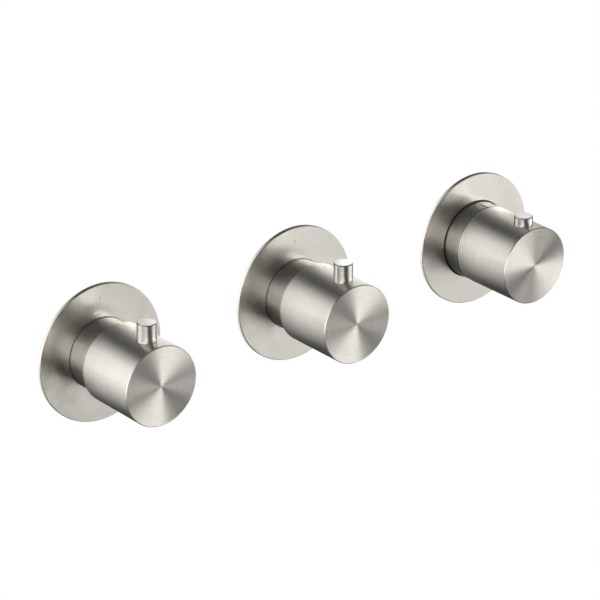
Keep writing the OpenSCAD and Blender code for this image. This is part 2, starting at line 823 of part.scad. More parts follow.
module at_rail_screws()
    for (x = [left_x, 0, temp_x], side = [-1, 1]) translate([x, 0, side * rail_screw_h])
        children();

module mounting_rail() color(zinc_steel) difference() {
    union() {
        block(rail_l, chest_rear, rail_depth, -rail_h / 2 + rail_corner_r,
            rail_h / 2 - rail_corner_r);
        block(rail_l - 2 * rail_corner_r, chest_rear, rail_depth, -rail_h / 2, rail_h / 2);
        for (x = [-1, 1], z = [-1, 1])
            translate([x * (rail_l / 2 - rail_corner_r), 0, z * (rail_h / 2 - rail_corner_r)])
                y_bar(rail_corner_r, chest_rear, rail_depth);
    }
    rail_slots();
    at_rail_screws() {
        y_bar(rail_screw_d / 2 + screw_fit, chest_rear - cut, rail_depth + cut);
        screw_cone(screw_fit);
    }
}

module rail_screws() color(zinc_steel) at_rail_screws() difference() {
    union() {
        y_bar(rail_screw_d / 2, rail_depth - rail_screw_l, rail_depth - screw_head_t);
        screw_cone(0);
    }
    along_y() hexagon(screw_socket_af, rail_depth - screw_sink - screw_socket_depth,
        rail_depth + cut);
}

// Plugs on top of the inlet legs
module at_legs() for (x = [hot_leg_x, cold_leg_x]) translate([x, leg_y, 0]) children();

module leg_plugs() color(turned_brass) at_legs() difference() {
    union() {
        bar(plug_r - plug_fit, leg_top_h - plug_l + shoulder_gap, leg_top_h + weld);
        trimmed_bar(plug_head_r, leg_top_h, leg_top_h + plug_head_t,
            pin_chamfer, pin_chamfer);
    }
    hexagon(plug_socket_af, leg_top_h + plug_head_t - plug_socket_depth,
        leg_top_h + plug_head_t + cut);
}

// Seals of the link tubes and of the check valves
module port_seals() color(black_rubber) {
    mean_r = link_d / 2 - link_seal_d / 2 + link_fit / 2;
    translate([0, gallery_y, 0]) rotate([0, 90, 0])
        for (at = [left_link_from + link_seal_setback, left_link_to - link_seal_setback,
            right_link_from + link_seal_setback, right_link_to - link_seal_setback])
            o_ring(mean_r, link_seal_d, at);
    at_legs() o_ring(check_r - check_seal_d / 2 + check_fit / 2, check_seal_d,
        (check_top + check_bottom) / 2);
}

// Check valves in the legs
module check_housing() color(pale_plastic) difference() {
    bar(check_r, check_bottom, check_top);
    bar(check_seat_r, check_bottom - cut, check_top - check_spider_t);
    bar(check_cavity_r, check_seat_z, check_spider_z);
    bar(stem_d / 2 + stem_fit, check_bottom, check_top + cut);
    for (i = [0:3]) rotate([0, 0, 90 * i]) translate([check_hole_place_r, 0, 0])
        bar(check_hole_r, check_spider_z - cut, check_top + cut);
    seal_groove(check_r, check_seal_d, (check_top + check_bottom) / 2);
}

module check_poppet() color(pale_plastic) {
    seat = check_seat_z + check_film;
    trimmed_bar(poppet_d / 2, seat, seat + poppet_t, poppet_t / 3, poppet_t / 5);
    bar(stem_d / 2, seat + poppet_t - weld, check_top - stem_spare);
    bar(stem_collar_r, seat + poppet_t - weld, stem_stop_z);
}

module check_spring() color(spring_steel) coil_spring(check_coil_r, check_wire_d,
    check_seat_z + check_film + poppet_t, check_spider_z, check_turns);

module hot_check_housing() translate([hot_leg_x, leg_y, 0]) check_housing();
module cold_check_housing() translate([cold_leg_x, leg_y, 0]) check_housing();
module hot_check_poppet() translate([hot_leg_x, leg_y, 0]) check_poppet();
module cold_check_poppet() translate([cold_leg_x, leg_y, 0]) check_poppet();
module hot_check_spring() translate([hot_leg_x, leg_y, 0]) check_spring();
module cold_check_spring() translate([cold_leg_x, leg_y, 0]) check_spring();

module inlet_strainers() color(spring_steel) at_legs() difference() {
    bar(check_r, strainer_bottom, strainer_top);
    bar(check_r - strainer_wall, strainer_bottom + strainer_wall, strainer_top + cut);
    for (x = [-2:2], y = [-2:2]) if (abs(x) + abs(y) < 4)
        translate([x * strainer_hole_pitch, y * strainer_hole_pitch, 0])
            bar(strainer_hole_r, strainer_bottom - cut, strainer_bottom + strainer_wall + cut);
}

// Roses
module rose(hole_r) color(brushed_nickel) difference() {
    along_y() trimmed_bar(rose_r, -rose_t, 0, rose_chamfer, rose_chamfer / 3);
    y_bar(hole_r, -rose_t - cut, cut);
    y_tube(gasket_outer_r + gasket_fit, gasket_inner_r - gasket_fit, -gasket_t, cut);
}

module left_rose() translate([left_x, 0, 0]) rose(stop_rose_hole_r);
module middle_rose() rose(stop_rose_hole_r);
module temperature_rose() translate([temp_x, 0, 0]) rose(temp_rose_hole_r);

module rose_gaskets() color(grey_foam) for (x = [left_x, 0, temp_x])
    translate([x, 0, 0]) y_tube(gasket_outer_r, gasket_inner_r, -gasket_t, 0);

module grip_ring(sleeve_r, gap, wire_d)
    along_y() o_ring(sleeve_r + gap - grip_gap - wire_d / 2, wire_d, -rose_t / 2 + wire_d / 4);

module rose_grip_rings() color(black_rubber) {
    for (x = [left_x, 0]) translate([x, 0, 0])
        grip_ring(stop_sleeve_r, stop_rose_gap, stop_grip_wire_d);
    translate([temp_x, 0, 0]) grip_ring(temp_sleeve_r, temp_rose_gap, temp_grip_wire_d);
}

// Sleeves: tubes that slip over the necks and pass through the roses
module sleeve(outer_r, wall, neck_d, reach, lap, gap, wire_d) difference() {
    rear = neck_front + lap;
    along_y() trimmed_bar(outer_r, -reach, rear, sleeve_front_chamfer, sleeve_front_chamfer);
    y_bar(neck_d / 2 + sleeve_fit, neck_front, rear + cut);
    y_bar(outer_r - wall, -reach - cut, neck_front);
    y_bar(min(outer_r - wall, neck_d / 2), neck_front - cut, neck_front + cut);
    groove_r = outer_r + gap - grip_gap - wire_d - seal_squeeze;
    at = -rose_t / 2 + wire_d / 4;
    half_w = wire_d / 2 + seal_groove_fit;
    y_tube(outer_r + cut, groove_r, at - half_w, at + half_w);
}

module stop_sleeve() color(brushed_nickel) sleeve(stop_sleeve_r, stop_sleeve_wall, stop_neck_d,
    stop_sleeve_reach, stop_sleeve_lap, stop_rose_gap, stop_grip_wire_d);

module left_sleeve() translate([left_x, 0, 0]) stop_sleeve();
module middle_sleeve() stop_sleeve();
module temperature_sleeve() color(brushed_nickel) translate([temp_x, 0, 0]) difference() {
    sleeve(temp_sleeve_r, temp_sleeve_wall, temp_neck_d, temp_sleeve_reach, temp_sleeve_lap,
        temp_rose_gap, temp_grip_wire_d);
    block(index_slot_w, -temp_sleeve_reach - cut, -temp_sleeve_reach + index_slot_l,
        temp_sleeve_r - index_slot_depth, temp_sleeve_r + cut);
}

// Stop cartridges
module cartridge_housing() color(turned_brass) difference() {
    union() {
        along_y() {
            hexagon(stop_hex_af, hex_front, neck_front);
            bar(stop_gland_d / 2 - gland_fit, neck_front - weld, gland_rear - shoulder_gap);
            bar(cartridge_r, neck_front, housing_rear);
        }
        y_sector(stop_ring_outer_r, stop_ring_inner_r, hex_front - stop_h, hex_front + weld,
            lug_angle / 2 + stop_turn + lug_play, 360 - lug_angle / 2 - lug_play);
    }
    y_bar(bearing_r, hex_front - stop_h - cut, carrier_front);
    y_bar(disc_cavity_r, carrier_front - disc_fit, housing_rear + cut);
    for (i = [0:3]) pie(cartridge_r, 90 * i + 45 - window_angle / 2, 90 * i + 45 + window_angle / 2,
        carrier_front, moving_disc_front);
    y_tube(cartridge_r + cut, window_waist_r, carrier_front - window_margin,
        moving_disc_front + window_margin / 2);
    block(ear_w + 2 * ear_fit, fixed_disc_front, housing_rear + cut,
        -cartridge_r - cut, cartridge_r + cut);
    along_y() {
        seal_groove(cartridge_r, cartridge_seal_d, cartridge_seal_y);
        for (i = [0, 1]) housing_seal_bore(stop_spindle_seal_y + i * spindle_seal_pitch);
    }
}

// A groove inside a housing for a seal round its spindle
spindle_seal_mean_r = hub_r + spindle_seal_d / 2 + spindle_fit / 2;
module housing_seal_bore(at)
    bar(spindle_seal_mean_r + spindle_seal_d / 2 + seal_squeeze,
        at - spindle_seal_d / 2 - seal_groove_fit, at + spindle_seal_d / 2 + seal_groove_fit);

module disc_ports(first_angle, from, to) for (turn = [0, 180])
    y_sector(port_outer_r, port_inner_r, from - cut, to + cut,
        first_angle + turn - port_angle / 2, first_angle + turn + port_angle / 2);

module fixed_disc() difference() {
    union() {
        y_bar(disc_cavity_r - disc_fit, fixed_disc_front, housing_rear);
        intersection() {
            block(ear_w, fixed_disc_front, housing_rear, -cartridge_r, cartridge_r);
            y_bar(disc_cavity_r + ear_reach, fixed_disc_front, housing_rear);
        }
    }
    disc_ports(90, fixed_disc_front, housing_rear);
}

module fixed_discs() color(white_ceramic)
    for (x = [left_x, 0]) translate([x, 0, 0]) fixed_disc();

module moving_disc() color(white_ceramic) difference() {
    y_bar(disc_cavity_r - moving_disc_fit, moving_disc_front, moving_disc_rear);
    disc_ports(0, moving_disc_front, moving_disc_rear);
    for (side = [-1, 1]) translate([side * (disc_cavity_r + dog_inner_r) / 2, 0, 0])
        block(disc_cavity_r - dog_inner_r + 2 * dog_fit, moving_disc_front - cut,
            moving_disc_front + dog_h + dog_fit, -dog_w / 2 - dog_fit, dog_w / 2 + dog_fit);
}

module stop_spindle() color(turned_brass) difference() {
    union() {
        along_y() {
            spline(stop_tip_y, clip_front - weld);
            bar(hub_r, clip_front - 2 * weld, carrier_front + weld);
        }
        y_sector(stop_ring_outer_r, 0, hex_front - stop_h, hex_front - lug_gap,
            -lug_angle / 2, lug_angle / 2);
        y_bar(hub_r, carrier_front, moving_disc_front);
        for (middle = [90, 270]) y_sector(disc_cavity_r - carrier_fit, 0, carrier_front,
            moving_disc_front, middle - carrier_arm_angle / 2, middle + carrier_arm_angle / 2);
        intersection() {
            for (side = [-1, 1]) translate([side * (disc_cavity_r + dog_inner_r) / 2, 0, 0])
                block(disc_cavity_r - dog_inner_r, moving_disc_front - weld,
                    moving_disc_front + dog_h, -dog_w / 2, dog_w / 2);
            y_bar(disc_cavity_r - carrier_fit, carrier_front, moving_disc_rear);
        }
    }
    y_tube(hub_r + cut, hub_r - clip_groove_depth, clip_front, clip_front + clip_t);
}

module spindle_clip() color(spring_steel) difference() {
    y_tube(clip_outer_r, hub_r - clip_groove_depth, clip_front, clip_front + clip_t);
    block(clip_mouth_w, clip_front - cut, clip_front + clip_t + cut, -clip_outer_r - cut, 0);
}

module cartridge_seals() color(black_rubber) for (x = [left_x, 0]) translate([x, 0, 0]) {
    along_y() {
        o_ring(cartridge_r - cartridge_seal_d / 2 + cartridge_fit / 2, cartridge_seal_d,
            cartridge_seal_y);
        for (i = [0, 1]) o_ring(spindle_seal_mean_r, spindle_seal_d,
            stop_spindle_seal_y + i * spindle_seal_pitch);
    }
    y_tube(cartridge_r - disc_fit, stop_chamber_r, housing_rear, seat_y);
}

// Stop knobs and what they hold
module knob_grub_hole(y) translate([0, y, 0])
    bar(grub_d / 2 + grub_fit, -knob_r - cut, -hub_bore_r + weld);

module stop_knob() color(brushed_nickel) difference() {
    along_y() trimmed_bar(knob_r, stop_knob_face, stop_knob_rear,
        knob_front_chamfer, knob_rear_chamfer);
    y_bar(stop_sleeve_r + stop_knob_gap, stop_recess_y, stop_knob_rear + cut);
    y_bar(hub_bore_r, stop_hub_y, stop_knob_rear);
    knob_grub_hole(stop_grub_y);
    translate([0, lever_y, 0]) {
        bar(lever_d / 2 + lever_fit, lever_seat_z, knob_r + cut);
        bar(lever_stud_d / 2 + lever_fit, lever_seat_z - lever_stud_l - lever_stud_end_gap,
            lever_seat_z + cut);
    }
}

module stop_lever() color(brushed_nickel) translate([0, lever_y, 0]) {
    trimmed_bar(lever_d / 2, lever_seat_z, knob_r + lever_rise, pin_chamfer, pin_chamfer);
    trimmed_bar(lever_stud_d / 2, lever_seat_z - lever_stud_l, lever_seat_z + weld,
        pin_chamfer, pin_chamfer / 2);
}

module grub_screw(y) color(spring_steel) translate([0, y, 0]) difference() {
    trimmed_bar(grub_d / 2, -adaptor_r - grub_l, -adaptor_r - grub_fit, pin_chamfer, pin_chamfer);
    hexagon(grub_socket_af, -adaptor_r - grub_l - cut, -adaptor_r - grub_l + grub_socket_depth);
}

module spline_adaptor(hub_y, l) color(pale_plastic)
    y_tube(adaptor_r, spline_d / 2 + adaptor_bore_fit, hub_y + adaptor_end_gap,
        hub_y + adaptor_end_gap + l);

module left_knob() translate([left_x, 0, 0]) stop_knob();
module left_lever() translate([left_x, 0, 0]) stop_lever();
module left_grub_screw() translate([left_x, 0, 0]) grub_screw(stop_grub_y);
module left_spline_adaptor() translate([left_x, 0, 0]) spline_adaptor(stop_hub_y, stop_adaptor_l);
module left_spindle() translate([left_x, 0, 0]) stop_spindle();
module left_moving_disc() translate([left_x, 0, 0]) moving_disc();
module left_spindle_clip() translate([left_x, 0, 0]) spindle_clip();
module left_cartridge_housing() translate([left_x, 0, 0]) cartridge_housing();

module middle_knob() stop_knob();
module middle_lever() stop_lever();
module middle_grub_screw() grub_screw(stop_grub_y);
module middle_spline_adaptor() spline_adaptor(stop_hub_y, stop_adaptor_l);
module middle_spindle() stop_spindle();
module middle_moving_disc() moving_disc();
module middle_spindle_clip() spindle_clip();
module middle_cartridge_housing() cartridge_housing();

// Thermostat housing
module thermostat_housing() color(turned_brass) translate([temp_x, 0, 0]) difference() {
    along_y() {
        bar(nose_d / 2, nose_front, neck_front);
        hexagon(temp_hex_af, hex_front, neck_front);
        bar(temp_gland_d / 2 - gland_fit, neck_front - weld, temp_gland_rear - shoulder_gap);
        bar(temp_housing_r, neck_front, temp_housing_rear);
    }
    y_bar(bearing_r, nose_front - cut, nut_chamber_y);
    y_bar(nut_chamber_r, nut_chamber_y, hot_seat_y + cut);
    y_bar(guide_r, hot_seat_y, temp_housing_rear);
    y_bar(pocket_r, hot_seat_y, hot_seat_y + slot_w);
    y_bar(pocket_r, cold_seat_y - slot_w, cold_seat_y);
    y_bar(cap_r + cap_fit, cold_seat_y, temp_housing_rear + cut);
    block(nut_key_w + 2 * nut_key_fit, nut_front - nut_key_spare, hot_seat_y + cut,
        -nut_r - nut_key_reach - nut_key_fit, nut_r + nut_key_reach + nut_key_fit);
    for (i = [0:slot_count - 1], y = [hot_slot_y, cold_slot_y])
        y_sector(temp_housing_r + cut, guide_r, y - slot_w / 2, y + slot_w / 2,
            360 / slot_count * i - slot_angle / 2, 360 / slot_count * i + slot_angle / 2);
    along_y() {
        for (y = housing_seal_ys) seal_groove(temp_housing_r, housing_seal_d, y);
        for (y = temp_spindle_seal_ys) housing_seal_bore(y);
    }
}

module thermostat_seals() color(black_rubber) translate([temp_x, 0, 0]) along_y() {
    for (y = housing_seal_ys)
        o_ring(temp_housing_r - housing_seal_d / 2 + cartridge_fit / 2, housing_seal_d, y);
    for (y = temp_spindle_seal_ys) o_ring(spindle_seal_mean_r, spindle_seal_d, y);
}

module spokes(inner_r, outer_r, from, to) intersection() {
    for (i = [0:spoke_count - 1]) rotate([0, 360 / spoke_count * i, 0])
        block(spoke_w, from, to, inner_r, outer_r + cut);
    y_tube(outer_r, inner_r, from, to);
}

module thermostat_end_cap() color(turned_brass) translate([temp_x, 0, 0]) {
    y_tube(cap_r, cap_bore_r, cold_seat_y, temp_housing_rear);
    y_tube(spider_outer_r, spider_inner_r, spider_front, temp_housing_rear);
    spokes(spider_outer_r - weld, cap_bore_r + weld, spider_front, temp_housing_rear);
}

// Ring on the housing's nose that limits the turn of the temperature knob
module temperature_stop_ring() color(pale_plastic) translate([temp_x, 0, 0]) {
    rest = 180;
    y_tube(lug_outer_r, nose_d / 2 + stop_ring_fit, stop_ring_front, hex_front);
    y_sector(lug_outer_r, lug_inner_r, stop_ring_front - lug_reach, stop_ring_front + weld,
        rest + hot_turn + rib_angle / 2 + temp_lug_play - 360,
        rest - cold_turn - rib_angle / 2 - temp_lug_play);
    block(lock_lug_w, tail_tip_y + lock_lug_gap, stop_ring_front + weld, lock_lug_inner_r,
        lock_lug_outer_r);
}

// Temperature knob and what it holds
module temperature_knob() color(brushed_nickel) translate([temp_x, 0, 0]) difference() {
    groove_rear = temp_knob_rear - bead_w;
    groove_front = groove_rear - bead_groove_w;
    union() {
        difference() {
            along_y() turned([
                [0, temp_knob_face], [knob_r - knob_front_chamfer, temp_knob_face],
                [knob_r, temp_knob_face + knob_front_chamfer], [knob_r, groove_front],
                [knob_r - bead_groove_depth, groove_front],
                [knob_r - bead_groove_depth, groove_rear], [knob_r - bead_inset, groove_rear],
                [knob_r - bead_inset, temp_knob_rear - knob_rear_chamfer],
                [knob_r - bead_inset - knob_rear_chamfer, temp_knob_rear], [0, temp_knob_rear]
            ]);
            y_bar(cavity_r, cavity_y, temp_knob_rear + cut);
        }
        y_sector(cavity_r + weld, rib_inner_r, cavity_y - weld, temp_knob_rear - rib_end_gap,
            180 - rib_angle / 2, 180 + rib_angle / 2);
    }
    y_bar(hub_bore_r, temp_hub_y, cavity_y + cut);
    knob_grub_hole(temp_grub_y);
    translate([0, button_y, 0]) {
        bar(button_r + button_fit, button_hole_z, knob_r + cut);
        bar(override_bore_r, override_seat_z, button_hole_z + cut);
    }
    block(tail_w + 2 * tail_fit, button_y, cavity_y + cut, tail_foot_z - button_travel - tail_fit,
        tail_foot_z + tail_h + tail_fit);
}

module override_button() color(brushed_nickel) translate([temp_x, 0, 0]) difference() {
    union() {
        translate([0, button_y, 0])
            trimmed_bar(button_r, button_foot_z, button_top_z, pin_chamfer, pin_chamfer);
        block(tail_w, button_y, tail_tip_y, tail_foot_z, tail_foot_z + tail_h);
    }
    translate([0, button_y, 0])
        bar(button_pocket_r, button_foot_z - cut, button_foot_z + button_pocket_depth);
}

module override_spring() color(spring_steel) translate([temp_x, button_y, 0])
    coil_spring(override_coil_r, override_wire_d, override_seat_z,
        button_foot_z + button_pocket_depth, override_turns);

module temperature_grub_screw() translate([temp_x, 0, 0]) grub_screw(temp_grub_y);
module temperature_spline_adaptor() translate([temp_x, 0, 0]) spline_adaptor(temp_hub_y, temp_adaptor_l);

module temperature_spindle() color(turned_brass) translate([temp_x, 0, 0]) along_y() {
    spline(temp_tip_y, nose_front + weld);
    bar(hub_r, nose_front, flange_y + weld);
    bar(flange_r, flange_y, flange_y + flange_t);
    bar(lift_thread_d / 2, flange_y + flange_t - weld, nut_front + nut_web - thread_end_gap);
}

// What the temperature spindle lifts
module lift_nut() color(turned_brass) translate([temp_x, 0, 0]) difference() {
    union() {
        y_bar(nut_r, nut_front, nut_front + nut_l);
        intersection() {
            block(nut_key_w, nut_front, nut_front + nut_l, -cavity_r, cavity_r);
            y_bar(nut_r + nut_key_reach, nut_front, nut_front + nut_l);
        }
    }
    y_bar(lift_thread_d / 2 + thread_fit, nut_front - cut, nut_front + nut_web + cut);
    y_bar(nut_cup_r, nut_front + nut_web, nut_front + nut_l + cut);
}

module overload_spring() color(spring_steel) translate([temp_x, 0, 0]) along_y()
    coil_spring(overload_coil_r, overload_wire_d, nut_front + nut_web, pusher_front,
        overload_turns);

module overload_pusher() color(spring_steel) translate([temp_x, 0, 0])
    y_bar(nut_cup_r - pusher_fit, pusher_front, pusher_rear);

module wax_element() color(copper) translate([temp_x, 0, 0]) along_y() {
    bar(piston_r, pusher_rear, hub_front - wax_collar_t + weld);
    bar(wax_collar_r, hub_front - wax_collar_t, hub_front);
    trimmed_bar(bulb_d / 2, hub_front - weld, bulb_rear, weld / 2, 2 * weld);
}

module mixing_shuttle() color(pale_plastic) translate([temp_x, 0, 0]) {
    inner_r = shuttle_r - shuttle_wall;
    hub_outer_r = bulb_d / 2 + hub_ring_w;
    difference() {
        y_tube(shuttle_r, inner_r, shuttle_front, shuttle_rear);
        along_y() seal_groove(shuttle_r, shuttle_seal_d, leg_y);
    }
    y_tube(hub_outer_r, bulb_d / 2 + bulb_fit, hub_front, hub_front + hub_t);
    spokes(hub_outer_r - weld, inner_r + weld, hub_front, hub_front + hub_t);
}

module shuttle_seal() color(black_rubber) translate([temp_x, 0, 0]) along_y()
    o_ring(shuttle_r - shuttle_seal_d / 2 + shuttle_fit / 2, shuttle_seal_d, leg_y);

module shuttle_return_spring() color(spring_steel) translate([temp_x, 0, 0]) along_y()
    coil_spring(return_coil_r, return_wire_d, hub_front + hub_t, spider_front, return_turns);

left_valve_body();
middle_valve_body();
thermostat_body();
left_link_tube();
right_link_tube();
mounting_rail();
rail_screws();
leg_plugs();
port_seals();
hot_check_housing();
cold_check_housing();
inlet_strainers();
left_rose();
middle_rose();
temperature_rose();
rose_gaskets();
rose_grip_rings();
left_sleeve();
middle_sleeve();
temperature_sleeve();
left_cartridge_housing();
middle_cartridge_housing();
fixed_discs();
cartridge_seals();
thermostat_housing();
thermostat_seals();
thermostat_end_cap();
temperature_stop_ring();
shuttle_return_spring();
hot_check_spring();
cold_check_spring();
left_knob();
left_lever();
left_grub_screw();
left_spline_adaptor();
left_spindle();
left_moving_disc();
left_spindle_clip();
middle_knob();
middle_lever();
middle_grub_screw();
middle_spline_adaptor();
middle_spindle();
middle_moving_disc();
middle_spindle_clip();
temperature_knob();
temperature_grub_screw();
temperature_spline_adaptor();
temperature_spindle();
override_spring();
override_button();
lift_nut();
overload_spring();
overload_pusher();
wax_element();
mixing_shuttle();
shuttle_seal();
hot_check_poppet();
cold_check_poppet();
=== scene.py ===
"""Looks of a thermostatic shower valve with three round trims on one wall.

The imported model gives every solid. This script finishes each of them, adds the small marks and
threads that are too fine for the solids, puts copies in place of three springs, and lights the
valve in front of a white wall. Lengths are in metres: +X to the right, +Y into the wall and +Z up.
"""

import json
import logging
import math
from abc import ABC, abstractmethod
from dataclasses import dataclass
from enum import Enum
from functools import cached_property
from typing import Any, Callable, Sequence

import bmesh
import bpy
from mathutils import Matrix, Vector

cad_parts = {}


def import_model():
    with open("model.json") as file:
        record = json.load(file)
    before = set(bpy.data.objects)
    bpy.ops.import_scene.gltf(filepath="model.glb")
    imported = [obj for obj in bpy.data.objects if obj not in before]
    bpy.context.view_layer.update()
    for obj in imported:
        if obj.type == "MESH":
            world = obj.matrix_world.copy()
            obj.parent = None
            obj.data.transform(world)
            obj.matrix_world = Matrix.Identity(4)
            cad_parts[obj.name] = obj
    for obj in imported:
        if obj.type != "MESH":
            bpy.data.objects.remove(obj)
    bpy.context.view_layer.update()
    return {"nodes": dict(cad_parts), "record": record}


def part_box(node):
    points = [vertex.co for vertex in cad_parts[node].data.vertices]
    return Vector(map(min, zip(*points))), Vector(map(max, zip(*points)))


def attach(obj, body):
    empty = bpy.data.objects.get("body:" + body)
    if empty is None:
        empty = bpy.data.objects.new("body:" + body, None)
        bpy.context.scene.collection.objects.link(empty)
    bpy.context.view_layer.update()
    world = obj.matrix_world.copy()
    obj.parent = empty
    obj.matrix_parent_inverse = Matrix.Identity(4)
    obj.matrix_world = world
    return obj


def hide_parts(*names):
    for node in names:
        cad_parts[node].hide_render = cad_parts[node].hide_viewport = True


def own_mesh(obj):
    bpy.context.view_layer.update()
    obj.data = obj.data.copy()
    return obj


FRAME: dict[str, Any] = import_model()
LOG: logging.Logger = logging.getLogger("shower_valve")

Flat = tuple[float, float]
Point = tuple[float, float, float]
Rgb = tuple[float, float, float]
Material = bpy.types.Material
Mesh = bpy.types.Mesh
Socket = bpy.types.NodeSocket
Layers = tuple[Socket, Socket, Socket]
Placing = Callable[[float, float, float], Point]
Tube = tuple[Sequence[Sequence[Point]], bool]

MM: float = 0.001
WARM_NICKEL: Rgb = (0.740, 0.714, 0.658)
WHITE: Rgb = (1.0, 1.0, 1.0)

# The values that most of one noise, of an even blend and of an uneven blend lie between.
NOISE_SPAN: Flat = (0.3, 0.7)
EVEN_SPAN: Flat = (0.35, 0.65)
BLEND_SPAN: Flat = (0.36, 0.64)

# How far along the axis the polygons of a flat end face, and how near the end they lie.
FLAT_FACING: float = 0.99
END_REACH: float = 0.1 * MM
# How far along the axis the polygons of a knob's chamfered edges face.
EDGE_FACING: Flat = (0.2, 0.98)


class Body(Enum):
    """The bodies of the valve that added pieces ride on."""

    VALVE = "valve"
    TEMPERATURE_HANDLE = "temperature_handle"


class Slot(Enum):
    """The material slots of the record."""

    BRUSHED_NICKEL = "brushed_nickel"
    CAST_BRASS = "cast_brass"
    TURNED_BRASS = "turned_brass"
    ZINC_STEEL = "zinc_steel"
    BLACK_RUBBER = "black_rubber"
    GREY_FOAM = "grey_foam"
    WHITE_CERAMIC = "white_ceramic"
    PALE_PLASTIC = "pale_plastic"
    SPRING_STEEL = "spring_steel"
    COPPER = "copper"


class Spin(Enum):
    """The axis that a turned piece was brushed about."""

    ABOUT_Y = "Y"
    ABOUT_Z = "Z"


class NodeSheet:
    """The node tree of a material or a world, with short calls for what the finishes share."""

    def __init__(self, owner: Material | bpy.types.World) -> None:
        """Empties the tree and gives it an output.

        Args:
            owner: The material or world.
        """
        owner.use_nodes = True
        self.tree = owner.node_tree
        self.tree.nodes.clear()
        kind = "World" if isinstance(owner, bpy.types.World) else "Material"
        self.output = self.node(f"ShaderNodeOutput{kind}")

    def node(self, kind: str, **settings: Any) -> bpy.types.Node:
        """Adds a node.

        Args:
            kind: The node's type name.
            settings: Its properties.

        Returns:
            The new node.
        """
        made = self.tree.nodes.new(kind)
        for key, value in settings.items():
            setattr(made, key, value)
        return made

    def put(self, target: Socket, value: Any) -> None:
        """Links an input socket or sets its plain value.

        Args:
            target: The input socket.
            value: An output socket, a number, or a sequence of numbers.
        """
        if isinstance(value, bpy.types.NodeSocket):
            self.tree.links.new(value, target)
        else:
            target.default_value = value

    def feed(self, kind: str, values: Sequence[Any] | dict[str, Any], **settings: Any) -> Any:
        """Adds a node and fills its inputs.

        Args:
            kind: The node's type name.
            values: What its first inputs get, in order, or what some of them get, by name.
            settings: Its properties.

        Returns:
            Its outputs.
        """
        made = self.node(kind, **settings)
        for key, value in values.items() if isinstance(values, dict) else enumerate(values):
            self.put(made.inputs[key], value)
        return made.outputs

    def calc(self, operation: str, *operands: Any) -> Socket:
        """Returns the result of a math node."""
        return self.feed("ShaderNodeMath", operands, operation=operation)[0]

    def times(self, first: Any, second: Any) -> Socket:
        """Returns the product of two values."""
        return self.calc("MULTIPLY", first, second)

    def blend(self, first: Any, second: Any, share: float) -> Socket:
        """Returns the sum of a share of one value and the rest of another."""
        return self.calc("ADD", self.times(first, share), self.times(second, 1 - share))

    def object_point(self) -> Socket:
        """Returns the surface point in the piece's own frame, the valve's frame at rest."""
        return self.node("ShaderNodeTexCoord").outputs["Object"]

    def split(self, value: Socket) -> Sequence[Socket]:
        """Returns the three parts of a vector."""
        return self.feed("ShaderNodeSeparateXYZ", [value])

    def gather(self, *parts: Any) -> Socket:
        """Returns a vector made of three parts."""
        return self.feed("ShaderNodeCombineXYZ", parts)[0]

    def noise(
        self, point: Any, scale: float = 1.0, detail: float = 3.0, extra: Any = None
    ) -> Socket:
        """Adds a noise texture.

        Args:
            point: The place that it is read at.
            scale: Features per unit of that place.
            detail: The number of finer layers.
            extra: A fourth coordinate, if there is one.

        Returns:
            The noise value, about 0 to 1.
        """
        values = {"Vector": point, "Scale": scale, "Detail": detail}
        if extra is None:
            return self.feed("ShaderNodeTexNoise", values, noise_dimensions="3D")[0]
        return self.feed("ShaderNodeTexNoise", {**values, "W": extra}, noise_dimensions="4D")[0]

    def stretch(self, value: Any, span: Flat, onto: Flat = (0.0, 1.0)) -> Socket:
        """Maps a value's span onto another, held at its ends.

        Args:
            value: The value.
            span: The values that give the ends.
            onto: The results at the ends.

        Returns:
            The mapped value.
        """
        return self.feed("ShaderNodeMapRange", (value, *span, *onto), clamp=True)[0]

    def ramp(self, share: Any, stops: Sequence[tuple[float, Rgb]]) -> Socket:
        """Maps a share from 0 to 1 to colours.

        Args:
            share: The share.
            stops: The shares that have a colour of their own, in order, each with its colour.

        Returns:
            The colour.
        """
        made = self.node("ShaderNodeValToRGB")
        elements = made.color_ramp.elements
        while len(elements) < len(stops):
            elements.new(0.5)
        for element, (position, colour) in zip(elements, stops):
            element.position = position
            element.color = (*colour, 1.0)
        self.put(made.inputs[0], share)
        return made.outputs[0]

    def mix(self, share: Any, first: Socket, second: Socket) -> Socket:
        """Returns a mix of two shaders, by the second one's share."""
        return self.feed("ShaderNodeMixShader", (share, first, second))[0]

    def show(self, shader: Socket) -> None:
        """Joins a shader to the output."""
        self.put(self.output.inputs["Surface"], shader)


def shades(colour: Rgb, *shares: float) -> list[Rgb]:
    """Returns a colour with its brightness multiplied by each share."""
    return [tuple(min(1.0, part * share) for part in colour) for share in shares]


def nickel(share: float) -> Rgb:
    """Returns the nickel's colour at a share of its brightness."""
    return shades(WARM_NICKEL, share)[0]


